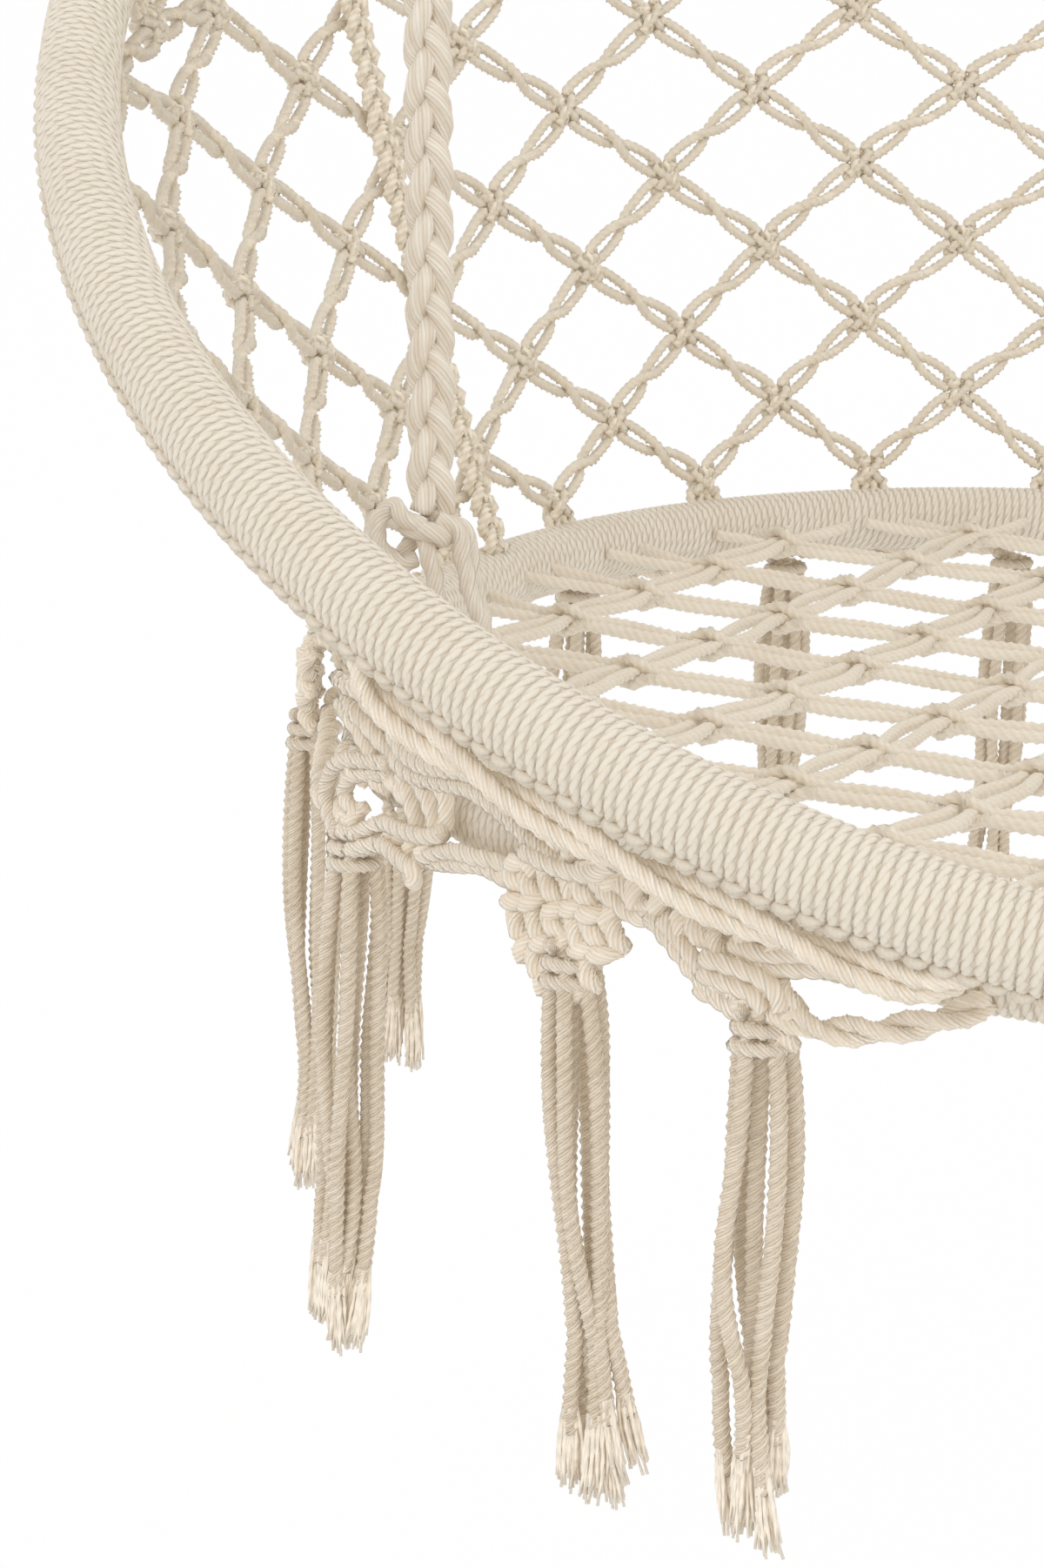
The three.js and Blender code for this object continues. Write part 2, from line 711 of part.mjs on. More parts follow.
function bridle(side) {
  const middle = onFrontRope(side, bridleRise);
  const bore = (ropeRadius + clearance) / Math.cos(Math.PI / ropeSides) + clearance;
  const rim = bore + collarWall;
  const half = collarHeight / 2;
  const collar = lathed(
    [
      [bore, -half],
      [rim, -half * collarFlatShare],
      [rim, half * collarFlatShare],
      [bore, half],
      [bore, -half],
    ],
    collarSides,
    middle,
    ropeWay,
  );
  const foot = hitchFace(side * bridleColumn, middle);
  const way = foot.clone().sub(middle);
  way.addScaledVector(ropeWay, -way.dot(ropeWay)).normalize();
  const head = middle.clone().addScaledVector(way, bore + collarWall * collarHoldShare);
  return joined([collar, straightRope(head, foot, bridleRadius), hitch(side * bridleColumn)]);
}

function rearRope(side) {
  const middle = hoopPoint(backHoop, side * rearColumn * column);
  const head = underBinding(side, 1, middle);
  const foot = hitchFace(side * rearColumn, head);
  return joined([straightRope(head, foot, ropeRadius), hitch(side * rearColumn)]);
}

// Braids: flat, on the chair side of the back net, from hoop to hoop.

function braid(side) {
  const angle = side * braidAngle;
  const line = hoopPoint(backHoop, angle).distanceTo(hoopPoint(seatHoop, angle));
  const stand = wrappedRadius + clearance * 3;
  const chordDip = backHoopRadius * (1 - Math.cos(column / 2));
  const square = Math.abs(netNormal(angle).z);
  const inset = ((netThickness + braidThickness) / 2 + clearance + chordDip + braidEase) / Math.sqrt(1 - square ** 2);
  const around = V(Math.cos(angle), -Math.sin(angle), 0).multiplyScalar(braidWidth / 2);
  const through = netNormal(angle).multiplyScalar(braidThickness / 2);
  const rings = Array.from({ length: braidSteps + 1 }, (_, k) => {
    const share = (stand + (line - 2 * stand) * (k / braidSteps)) / line;
    const middle = netPoint(angle, share, inset);
    return [
      middle.clone().add(around).add(through),
      middle.clone().sub(around).add(through),
      middle.clone().sub(around).sub(through),
      middle.clone().add(around).sub(through),
    ];
  });
  return loft(rings, false);
}

// Lacing: one cord that zigzags between the hoops across the front.

function lacing() {
  const points = [];
  const from = netColumns + 1;
  const count = 2 * (columns - from);
  for (let k = 0; k <= 2 * count; k++) {
    const angle = (from + k / 2) * column;
    const low = hoopPoint(seatHoop, angle);
    const high = hoopPoint(backHoop, angle);
    const line = high.clone().sub(low);
    const distanceTo = (hoop, sense) => {
      const turn = Math.atan2(sense * line.dot(axisOf(hoop)), sense * line.dot(outward(hoop, angle)));
      return faceReach(wrappedRadius, turn) + clearance + lacingRadius;
    };
    const stand = Math.max(
      shareFor(seatHoop, angle, distanceTo(seatHoop, 1)),
      shareFor(backHoop, angle, distanceTo(backHoop, -1)),
    );
    const swing = Math.max(0, 0.5 - stand);
    const beat = Math.cos((k / 2) * Math.PI);
    points.push(low.lerp(high, 0.5 + swing * beat));
  }
  const path = new THREE.CatmullRomCurve3(points, false, "centripetal");
  return ropeAlong(path, lacingRadius, thinSides, 4 * count);
}

// Head of the ropes: steel ring, rope eye over the ring's lower bar, and the binding under it.

const ring = place(
  root,
  "hanging_ring",
  new THREE.TorusGeometry(ringRadius, ringWire, hoopSides, 24),
  ringSteel(),
);
ring.rotation.x = Math.PI / 2;
ring.position.z = -ringInner;

function eye() {
  const reach = eyeBore + eyeRadius;
  const path = new THREE.CurvePath();
  path.add(new THREE.LineCurve3(V(0, -reach, -eyeLeg), V(0, -reach, 0)));
  const arcSteps = 4;
  for (let k = 0; k < arcSteps; k++) {
    const point = (turn) => V(0, -reach * Math.cos(turn), reach * Math.sin(turn));
    const [from, to] = [k, k + 1].map((step) => (step / arcSteps) * Math.PI);
    const bulge = 1 / Math.cos((to - from) / 2);
    const middle = point((from + to) / 2).multiplyScalar(bulge);
    path.add(new THREE.QuadraticBezierCurve3(point(from), middle, point(to)));
  }
  path.add(new THREE.LineCurve3(V(0, reach, 0), V(0, reach, -eyeLeg)));
  return ropeAlong(path, eyeRadius, ropeSides, eyeSteps);
}

const head = new THREE.Group();
head.position.z = -pivotDrop;
root.add(head);
place(head, "ring_eye", eye(), cotton());

const bindingProfile = [
  [0, -bindingHeight],
  [bindingRadius - bindingEdge, -bindingHeight],
  [bindingRadius, -bindingHeight + bindingEdge],
  [bindingRadius, -bindingEdge],
  [bindingRadius - bindingEdge, 0],
  [0, 0],
];
place(head, "top_binding", lathed(bindingProfile, bindingSides, V(0, 0, -eyeLeg - clearance), up), cotton());

// Everything that hangs from the head

const ridgeStops = [-rearColumn, rearColumn, bridleColumn, 2 * columns - bridleColumn, 2 * columns - rearColumn];
ridgeStops.slice(1).forEach((stop, k) => {
  place(chair, "back_hoop_ridge_" + (k + 1), ridge(ridgeStops[k], stop), cotton());
});
panels.forEach((net, k) => place(chair, "back_net_" + (k + 1), net.geometry(), darkCotton()));
place(chair, "seat_net", seatNet.geometry(), darkCotton());
place(chair, "skirt", skirt.geometry(), cotton());
place(chair, "front_lacing", lacing(), cotton());
for (const [name, side] of [["left", -1], ["right", 1]]) {
  place(chair, "front_rope_" + name, frontRope(side), cotton());
  place(chair, "rope_tie_" + name, ropeTie(side), cotton());
  place(chair, "rope_bridle_" + name, bridle(side), cotton());
  place(chair, "rear_rope_" + name, rearRope(side), cotton());
  place(chair, "net_braid_" + name, braid(side), cotton());
}
tasselAngles.forEach((angle, k) => {
  const name = "tassel_" + String(k + 1).padStart(2, "0");
  place(chair, name, tassel(angle), cotton());
});

export default root;
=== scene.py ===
from functools import partial

import bpy
import numpy as np
from mathutils import Matrix, Vector


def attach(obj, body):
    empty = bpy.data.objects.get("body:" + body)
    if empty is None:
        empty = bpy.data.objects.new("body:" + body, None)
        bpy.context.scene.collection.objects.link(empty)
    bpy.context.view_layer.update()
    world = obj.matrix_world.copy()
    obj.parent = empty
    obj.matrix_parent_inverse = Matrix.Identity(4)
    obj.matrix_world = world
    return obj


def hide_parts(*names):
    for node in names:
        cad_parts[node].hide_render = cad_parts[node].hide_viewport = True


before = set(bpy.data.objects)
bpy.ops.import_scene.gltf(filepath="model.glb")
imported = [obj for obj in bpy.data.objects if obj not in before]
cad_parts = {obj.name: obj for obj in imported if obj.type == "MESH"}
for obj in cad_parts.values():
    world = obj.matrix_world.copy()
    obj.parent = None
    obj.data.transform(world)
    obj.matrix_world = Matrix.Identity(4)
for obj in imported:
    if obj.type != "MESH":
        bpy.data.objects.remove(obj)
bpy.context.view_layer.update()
print("frame loaded,", len(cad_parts), "CAD nodes")

# Lengths are in millimetres from the seat hoop's middle: x right, y to the rear, z up.
# meshPiece turns them into metres in the part's frame. Angles run from the rear towards +x.
chair = {"place": np.array([0.0, -46.5, -1150.0]), "columns": 22}
column = np.pi / chair["columns"]

cameraPlace = {"lens": 67.858, "clip": (0.01, 100), "place": (-389.9, -959.9, 288.9)}
cameraAngles = {"down": 18.05, "yaw": 9.0, "roll": 1.9785}


def makeCamera():
    # right, up and back axes from yaw, then the tilt down, then the roll
    down, yaw, roll = (np.radians(cameraAngles[k]) for k in ("down", "yaw", "roll"))
    right = np.array([np.cos(yaw), -np.sin(yaw), 0])
    ahead = np.array([np.cos(down) * np.sin(yaw), np.cos(down) * np.cos(yaw), -np.sin(down)])
    above = np.cross(right, ahead)
    turnedRight = np.cos(roll) * right + np.sin(roll) * above
    turnedUp = -np.sin(roll) * right + np.cos(roll) * above
    camera = bpy.data.objects.new("camera", bpy.data.cameras.new("camera"))
    camera.data.lens = cameraPlace["lens"]
    camera.data.clip_start, camera.data.clip_end = cameraPlace["clip"]
    place = (chair["place"] + cameraPlace["place"]) / 1000
    columns = np.column_stack([turnedRight, turnedUp, -ahead, place])
    camera.matrix_world = Matrix(np.vstack([columns, [0, 0, 0, 1]]).tolist())
    bpy.context.scene.collection.objects.link(camera)
    bpy.context.scene.camera = camera


makeCamera()


def feed(target, inputs):
    # sets a node's inputs: an output is linked, and anything else is the value
    for key, value in inputs.items():
        socket = target.inputs[key]
        if isinstance(value, bpy.types.NodeSocket):
            socket.id_data.links.new(value, socket)
        else:
            socket.default_value = value


def addNode(tree, kind, inputs=None, **settings):
    added = tree.nodes.new(kind)
    for key, value in settings.items():
        setattr(added, key, value)
    feed(added, inputs or {})
    return added


def addMath(tree, operation, *values):
    return addNode(tree, "ShaderNodeMath", dict(enumerate(values)), operation=operation).outputs[0]


def newMaterial(name):
    material = bpy.data.materials.new(name)
    material.use_nodes = True
    return material, partial(addNode, material.node_tree), partial(addMath, material.node_tree)


# Cotton: fibres are noise drawn out along the cord, which the piece's UV map gives in millimetres.
# The attribute "groove" is 1 between the plies and 0 on them, and mixes the colour towards a painted shade
# colour there. A wound cord has its plies in the shader alone: in the bump, with painted shade in the creases
# between them.
# The glow is painted light: a faint warm emission all over the cotton that lifts and warms its shade, most
# seen in the hollows between the cords, in place of light passing through the fibres.
cotton = {
    "shader": {
        "Roughness": 0.92,
        "Specular IOR Level": 0.2,
        "Sheen Weight": 0.1,
        "Sheen Roughness": 0.6,
        "Emission Color": (0.85, 0.69, 0.50, 1),
    },
    "across": 1.5,
    "along": 0.22,
    "fibres": {"Scale": 1.0, "Detail": 4.0},
    "cloud": {"Scale": 55.0, "Detail": 2.0},
    "fibreTint": 0.8,
    "cloudTint": 0.5,
    "grooveShade": 0.42,
    "yarnGapShade": 0.22,
    "yarnHeight": 0.3,
    "bump": {"Strength": 0.9, "Distance": 0.001},
}
woundCord = {
    "width": 4.2, "lay": 15.5, "shift": 0.17, "chance": 0.3, "ply": 1.4, "reach": 0.95, "lowest": 0.9,
    "height": 0.6, "creaseTop": 1.45, "crease": 0.85, "tint": 0.35,
}


def cottonMaterial(name, pale, shadeColour, fibreBump=0.25, wound=None, yarn=None, glow=0.06, openYarns=False):
    material, node, math = newMaterial(name)
    shader = material.node_tree.nodes["Principled BSDF"]
    feed(shader, cotton["shader"] | {"Emission Strength": glow})
    uv = node("ShaderNodeUVMap", uv_map="alongCord")
    parts = node("ShaderNodeSeparateXYZ", {"Vector": uv.outputs["UV"]})
    across, along = parts.outputs["X"], parts.outputs["Y"]
    slanted = across
    if wound:
        slanted = math("MULTIPLY_ADD", along, -2 * np.pi * wound["reach"] / wound["lay"], across)
    drawn = {"X": math("MULTIPLY", slanted, cotton["across"]), "Y": math("MULTIPLY", along, cotton["along"])}
    drawn = node("ShaderNodeCombineXYZ", drawn).outputs["Vector"]
    fibres = node("ShaderNodeTexNoise", cotton["fibres"] | {"Vector": drawn}).outputs["Fac"]
    place = node("ShaderNodeTexCoord").outputs["Object"]
    cloud = node("ShaderNodeTexNoise", cotton["cloud"] | {"Vector": place}).outputs["Fac"]
    groove = node("ShaderNodeAttribute", attribute_name="groove").outputs["Fac"]

    height = math("MULTIPLY", fibres, fibreBump)
    depth = math("MULTIPLY", groove, cotton["grooveShade"])
    if yarn:
        # yarns side by side along the cord, yarn millimetres wide; the gaps between them get painted shade
        ridge = math("ABSOLUTE", math("SINE", math("MULTIPLY", across, np.pi / yarn)))
        height = math("MULTIPLY_ADD", ridge, cotton["yarnHeight"], height)
        depth = math("MULTIPLY_ADD", math("SUBTRACT", 1.0, ridge), cotton["yarnGapShade"], depth)
    if wound:
        # height of three plies turning in a cord: the most of a sin q + sqrt(b^2 - (x - a cos q)^2)
        turns = math("DIVIDE", across, wound["width"])
        whole = math("FLOOR", turns)
        x = math("MULTIPLY", math("SUBTRACT", math("FRACT", turns), 0.5), wound["width"])
        phase = math("MULTIPLY_ADD", whole, wound["shift"], math("DIVIDE", along, wound["lay"]))
        chance = node("ShaderNodeTexWhiteNoise", {"W": whole}, noise_dimensions="1D").outputs["Value"]
        phase = math("MULTIPLY_ADD", chance, wound["chance"], phase)
        crest = wound["lowest"]
        for ply in range(3):
            q = math("MULTIPLY_ADD", phase, 2 * np.pi, ply * 2 * np.pi / 3)
            away = math("SUBTRACT", x, math("MULTIPLY", math("COSINE", q), wound["reach"]))
            inside = math("SUBTRACT", wound["ply"] ** 2, math("MULTIPLY", away, away))
            rise = math("SQRT", math("MAXIMUM", inside, 0.0))
            rise = math("MULTIPLY_ADD", math("SINE", q), wound["reach"], rise)
            # where there is no ply, the rise is too low to count
            rise = math("MULTIPLY_ADD", math("LESS_THAN", inside, 0.0), -3.0, rise)
            crest = math("MAXIMUM", crest, rise)
        height = math("ADD", height, math("MULTIPLY", crest, wound["height"]))
        # painted shade in the creases between the plies, below creaseTop, on top of the groove's painted
        # shade scaled by tint
        crease = math("MAXIMUM", math("SUBTRACT", wound["creaseTop"], crest), 0.0)
        depth = math("MULTIPLY_ADD", depth, wound["tint"], math("MULTIPLY", crease, wound["crease"]))
    # fibres and clouds vary the tone at random; depth is the painted shade
    tint = math("MULTIPLY_ADD", math("SUBTRACT", fibres, 0.5), cotton["fibreTint"], depth)
    tint = math("MULTIPLY_ADD", math("SUBTRACT", cloud, 0.5), cotton["cloudTint"], tint)
    share = math("MAXIMUM", math("MINIMUM", tint, 1.0), 0.0)
    mix = node("ShaderNodeMix", {"A": (*pale, 1), "B": (*shadeColour, 1), "Factor": share}, data_type="RGBA")
    if openYarns:
        # below 0 the attribute marks open yarns, which are smooth
        height = math("MULTIPLY", height, math("GREATER_THAN", groove, -0.1))
    bump = node("ShaderNodeBump", cotton["bump"] | {"Height": height})
    feed(shader, {"Base Color": mix.outputs["Result"], "Normal": bump.outputs["Normal"]})
    return material


steel = {
    "noise": {"Scale": 600, "Detail": 4}, "spread": (0.7, 1.4),
    "bump": {"Strength": 0.15, "Distance": 0.0004},
}


def steelMaterial(name, colour, roughness):
    # fine noise varies the roughness and the height
    material, node, _ = newMaterial(name)
    place = node("ShaderNodeTexCoord").outputs["Object"]
    noise = node("ShaderNodeTexNoise", steel["noise"] | {"Vector": place}).outputs["Fac"]
    least, most = (roughness * share for share in steel["spread"])
    spread = node("ShaderNodeMapRange", {"To Min": least, "To Max": most, "Value": noise}).outputs["Result"]
    bump = node("ShaderNodeBump", steel["bump"] | {"Height": noise}).outputs["Normal"]
    shader = material.node_tree.nodes["Principled BSDF"]
    feed(shader, {"Base Color": (*colour, 1), "Metallic": 1, "Roughness": spread, "Normal": bump})
    return material


# Each cotton has its colour on the crests and a darker painted shade colour that the grooves are mixed
# towards
hoopCotton = (0.71, 0.653, 0.558), (0.524, 0.421, 0.303)
netCotton = (0.83, 0.765, 0.645), (0.60, 0.48, 0.335)
# The seat net's cotton is the back net's made darker, painted shade, since the flat seat net takes more light
# from above
seatCottonPaintedShade = (0.765, 0.705, 0.60), (0.555, 0.445, 0.312)
ropeCotton = (0.745, 0.695, 0.61), (0.53, 0.43, 0.31)
# The skirt's cotton is paler and glows more, painted light that lifts the shade under the hoop; the hitches
# and the front lacing wear it too
skirtCottonPaintedLight = (0.86, 0.80, 0.70), (0.59, 0.475, 0.345)
tasselCotton = (0.875, 0.803, 0.691), (0.509, 0.396, 0.266)
ropeLook = {"fibreBump": 0.4, "yarn": 1.7, "glow": 0.09}
skirtLook = {"fibreBump": 0.35, "yarn": 2.1, "glow": 0.15}
tasselLook = {"fibreBump": 0.35, "yarn": 1.9, "glow": 0.09, "openYarns": True}
finishes = {
    "wrap": cottonMaterial("wrappedCotton", *hoopCotton, wound=woundCord, glow=0.085),
    "bead": cottonMaterial("beadCotton", *hoopCotton),
    "net": cottonMaterial("nettingCotton", *netCotton),
    "seat": cottonMaterial("seatCottonPaintedShade", *seatCottonPaintedShade),
    "rope": cottonMaterial("ropeCotton", *ropeCotton, **ropeLook),
    "skirt": cottonMaterial("skirtCottonPaintedLight", *skirtCottonPaintedLight, **skirtLook),
    "tassel": cottonMaterial("tasselCotton", *tasselCotton, **tasselLook),
    "ring": steelMaterial("ringSteel", (0.62, 0.63, 0.64), 0.25),
    "tube": steelMaterial("tubeSteel", (0.35, 0.36, 0.37), 0.45),
}


def unit(vectors):
    return vectors / np.linalg.norm(vectors, axis=-1, keepdims=True)


def framesAlong(paths):
    # tangents, and normals carried along each path by the least turn from point to point
    tangents = unit(np.gradient(paths, axis=1))
    first = tangents[:, 0]
    helper = np.where(np.abs(first[:, 2:3]) < 0.8, [0.0, 0, 1], [1.0, 0, 0])
    normal = unit(np.cross(first, helper))
    normals = np.empty_like(tangents)
    for k in range(paths.shape[1]):
        along = tangents[:, k]
        normal = unit(normal - along * (normal * along).sum(-1, keepdims=True))
        normals[:, k] = normal
    return tangents, normals, np.cross(tangents, normals)


def lengthAlong(paths):
    steps = np.linalg.norm(np.diff(paths, axis=1), axis=-1)
    return np.concatenate([np.zeros((len(paths), 1)), np.cumsum(steps, axis=1)], axis=1)


def alongLine(line):
    # distance along one path, and the two directions beside it
    _, normals, sideways = framesAlong(line[None])
    return lengthAlong(line[None])[0], normals[0], sideways[0]


def lengthOf(path):
    return lengthAlong(path[None])[0, -1]


def turnedFrom(angle, first, second):
    # the direction at an angle from the first one towards the second
    return np.cos(angle)[..., None] * first + np.sin(angle)[..., None] * second


def sweep(paths, radius, lay=7.5, sides=6, lobes=3, depth=0.3, turned=False):
    # twisted cord: centre + r(1 - depth(1 - cos(lobes a))/2) at angle a + 2 pi s/lay round the path
    paths = np.asarray(paths, float)
    count, rings = paths.shape[:2]
    _, normals, sideways = framesAlong(paths)
    s = lengthAlong(paths)
    around = np.arange(sides + 1) / sides * 2 * np.pi
    turn = around + (2 * np.pi * s / lay)[..., None]
    groove = (1 - np.cos(lobes * around[:sides])) / 2
    radii = np.broadcast_to(radius, (count, rings))[..., None]
    way = turnedFrom(turn[..., :sides], normals[:, :, None], sideways[:, :, None])
    points = paths[:, :, None] + (radii * (1 - depth * groove))[..., None] * way
    index = np.arange(count * rings * sides).reshape(count, rings, sides)
    after = np.roll(index, -1, axis=2)
    quads = np.stack([index[:, :-1], after[:, :-1], after[:, 1:], index[:, 1:]], -1)
    # fibres run along the path, or round it with the lobes where turned is True
    u = (np.broadcast_to(around, turn.shape) if turned else turn) * radii
    v = np.broadcast_to(s[..., None], u.shape)
    uv = np.stack([u, v], -1)
    uvQuads = np.stack([uv[:, :-1, :-1], uv[:, :-1, 1:], uv[:, 1:, 1:], uv[:, 1:, :-1]], -2)
    caps = np.concatenate([index[:, 0, ::-1], index[:, -1]])
    uvCaps = np.concatenate([uv[:, 0, :sides][:, ::-1], uv[:, -1, :sides]])
    faces = [(quads.reshape(-1, 4), uvQuads.reshape(-1, 4, 2)), (caps, uvCaps)]
    # the lobes' profile is also the mask of painted shade between them
    groove = np.tile(groove * (depth > 0), count * rings)
    return {"points": points.reshape(-1, 3), "groove": groove, "faces": faces}


def thickCord(paths, radius, lay, depth=0.2):
    return sweep(paths, radius, lay=lay, sides=9, depth=depth, turned=True)


def sheetRound(points, uv, groove, closeRows=True):
    # a grid of points closed round its columns, and round its rows too unless closeRows is False
    # its last column repeats the first one, and rows are turned round so that faces point out
    points, uv, groove = points[:, :-1][:, ::-1], uv[:, ::-1], groove[:, :-1][:, ::-1]
    rows, sides = points.shape[:2]
    index = np.arange(rows * sides).reshape(rows, sides)
    after = np.roll(index, -1, axis=1)
    nextRow, nextAfter = np.roll(index, -1, axis=0), np.roll(after, -1, axis=0)
    last = rows if closeRows else rows - 1
    quads = np.stack([index, after, nextAfter, nextRow], -1)[:last]
    uvQuads = np.stack([uv[:-1, :-1], uv[:-1, 1:], uv[1:, 1:], uv[1:, :-1]], -2)[:last]
    faces = [(quads.reshape(-1, 4), uvQuads.reshape(-1, 4, 2))]
    if not closeRows:
        caps = np.stack([index[0, ::-1], index[-1]])
        faces.append((caps, np.stack([uv[0, :sides][::-1], uv[-2, :sides]])))
    return {"points": points.reshape(-1, 3), "groove": groove.ravel(), "faces": faces}


made = []


def meshPiece(name, parts, finish, replaces=(), body="chair"):
    mesh = bpy.data.meshes.new(name)
    points = (np.concatenate([p["points"] for p in parts]) + chair["place"]) / 1000
    groove = np.concatenate([p["groove"] for p in parts])
    starts = np.cumsum([0] + [len(p["points"]) for p in parts])
    loops, uvs, sizes = [], [], []
    for part, start in zip(parts, starts):
        for faces, uv in part["faces"]:
            loops.append((faces + start).ravel())
            uvs.append(uv.reshape(-1, 2))
            sizes.append(np.full(len(faces), faces.shape[1]))
    loops, uvs, sizes = np.concatenate(loops), np.concatenate(uvs), np.concatenate(sizes)
    mesh.vertices.add(len(points))
    mesh.vertices.foreach_set("co", points.astype(np.float32).ravel())
    mesh.loops.add(len(loops))
    mesh.loops.foreach_set("vertex_index", loops.astype(np.int32))
    mesh.polygons.add(len(sizes))
    mesh.polygons.foreach_set("loop_start", (np.cumsum(sizes) - sizes).astype(np.int32))
    mesh.polygons.foreach_set("use_smooth", np.ones(len(sizes), bool))
    mesh.update(calc_edges=True)
    layer = mesh.uv_layers.new(name="alongCord")
    layer.data.foreach_set("uv", uvs.astype(np.float32).ravel())
    mesh.attributes.new("groove", "FLOAT", "POINT").data.foreach_set("value", groove.astype(np.float32))
    mesh.materials.append(finishes[finish])
    piece = bpy.data.objects.new(name, mesh)
    bpy.context.scene.collection.objects.link(piece)
    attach(piece, body)
    if replaces:
        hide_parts(*replaces)
    made.append(piece)
    return piece


def smooth(points, count):
    # Catmull-Rom through the points of each path
    points = np.asarray(points, float)
    last = points.shape[-2] - 1
    t = np.linspace(0, last, count)
    i = np.minimum(t.astype(int), last - 1)
    f = (t - i)[:, None]
    before = np.concatenate([2 * points[..., :1, :] - points[..., 1:2, :], points], axis=-2)
    padded = np.concatenate([before, 2 * points[..., -1:, :] - points[..., -2:-1, :]], axis=-2)
    a, b, c, d = (padded[..., i + k, :] for k in range(4))
    return 0.5 * (2 * b + (c - a) * f + (2 * a - 5 * b + 4 * c - d) * f**2 + (3 * b - a - 3 * c + d) * f**3)


# Hoops
hoopSizes = {
    "seatRadius": 286.5, "backRadius": 387.0, "tilt": np.radians(28.9), "wrapped": 13.5,
    "spacing": 34.0, "spacingRise": np.radians(15.5),
}
seatHoop = {"radius": hoopSizes["seatRadius"], "tilt": 0.0, "centre": np.zeros(3)}
backHoop = {"radius": hoopSizes["backRadius"], "tilt": hoopSizes["tilt"]}
apartBy = hoopSizes["spacing"] * np.exp(1j * hoopSizes["spacingRise"])
backHoop["centre"] = np.array(
    [
        0,
        backHoop["radius"] * np.cos(backHoop["tilt"]) - seatHoop["radius"] - apartBy.real,
        backHoop["radius"] * np.sin(backHoop["tilt"]) + apartBy.imag,
    ]
)


def outward(hoop, angle):
    back = np.cos(angle)
    return np.stack([np.sin(angle), back * np.cos(hoop["tilt"]), back * np.sin(hoop["tilt"])], -1)


def axisOf(hoop):
    return np.array([0, -np.sin(hoop["tilt"]), np.cos(hoop["tilt"])])


def hoopPoint(hoop, angle):
    # the circle midway between the corners and the straights of the CAD hoop's polygon
    return hoop["centre"] + outward(hoop, angle) * hoop["radius"] * (1 + np.cos(column / 2)) / 2


# Ropes, from the ties on the seat hoop and the hitches on the back hoop up to the binding
ropes = {
    "radius": 7.0, "bridleRadius": 5.0, "tieColumn": 12, "rearColumn": 5, "bridleColumn": 9,
    "lean": np.tan(np.radians(15)), "knotRise": 73.0, "inset": 9.0, "bridleRise": 360.0,
    "bendRise": 400.0, "bendReach": 25.0, "spread": 8.0, "bindingFoot": 970.7, "tuck": 12,
    "hitchReach": 16.0, "bridleReach": 9, "step": 1.6, "repeat": 52.0, "across": 4.5, "through": 2.6,
    "strandRadius": 3.8, "bridleRepeat": 26,
}
plait = {"lay": -36, "sides": 16, "lobes": 4, "depth": 0.14}
laid = {"lay": -14, "sides": 9, "depth": 0.2}
ropeWay = unit(np.array([0, ropes["lean"], 1.0]))


def onFrontRope(side, rise):
    foot = hoopPoint(seatHoop, np.array(side * ropes["tieColumn"] * column)) - [side * ropes["inset"], 0, 0]
    return foot + ropeWay * rise / ropeWay[2]


def resample(points, count):
    s = lengthAlong(points[None])[0]
    even = np.linspace(0, s[-1], count)
    return np.stack([np.interp(even, s, points[:, k]) for k in range(3)], -1)


def ropeTop(side, forward):
    spread = ropes["spread"]
    return np.array([side * spread, -chair["place"][1] - forward * spread, ropes["bindingFoot"]])


def frontRopePath(side):
    bend, top = onFrontRope(side, ropes["bendRise"]), ropeTop(side, 1)
    inwards = unit(top - bend)
    below, above = bend - ropeWay * ropes["bendReach"], bend + inwards * ropes["bendReach"]
    t = np.linspace(0, 1, 9)[:, None]
    bow = below * (1 - t) ** 2 + 2 * bend * t * (1 - t) + above * t**2
    return np.vstack([onFrontRope(side, ropes["knotRise"])[None], bow, (top + inwards * ropes["tuck"])[None]])


def hitchFace(columnIndex, towards):
    # a place on the back hoop's wrap, on the side that faces the rope's other end
    angle = np.array(columnIndex * column)
    middle = hoopPoint(backHoop, angle)
    along = np.cross(axisOf(backHoop), outward(backHoop, angle))
    way = towards - middle
    return middle + unit(way - along * (way @ along)) * ropes["hitchReach"]


def rearRopePath(side):
    foot, top = side * ropes["rearColumn"], ropeTop(side, -1)
    way = unit(top - hoopPoint(backHoop, np.array(foot * column)))
    return np.vstack([hitchFace(foot, top)[None], (top + way * ropes["tuck"])[None]])


def bridlePath(side):
    middle = onFrontRope(side, ropes["bridleRise"])
    foot = hitchFace(side * ropes["bridleColumn"], middle)
    way = foot - middle
    way = unit(way - ropeWay * (way @ ropeWay))
    return np.vstack([(middle + way * ropes["bridleReach"])[None], foot[None]])


def braidStrands(line, s, across, through, values):
    # three strands of a braid: across = a sin t, through = b sin 2t
    t = 2 * np.pi * (s / values["repeat"] + np.arange(3)[:, None] / 3)
    shift = values["across"] * np.sin(t)[..., None] * across
    return line + shift + values["through"] * np.sin(2 * t)[..., None] * through


def laidStrands(line, count, reach, repeat):
    # strands that turn round each other, once in every repeat
    s, normals, sideways = alongLine(line)
    angle = 2 * np.pi * (s / repeat + np.arange(count)[:, None] / count)
    return line + reach * turnedFrom(angle, normals, sideways)


def declareCord(piece, path, points):
    metres = (resample(path, points) + chair["place"]) / 1000
    length = lengthOf(metres)
    return length


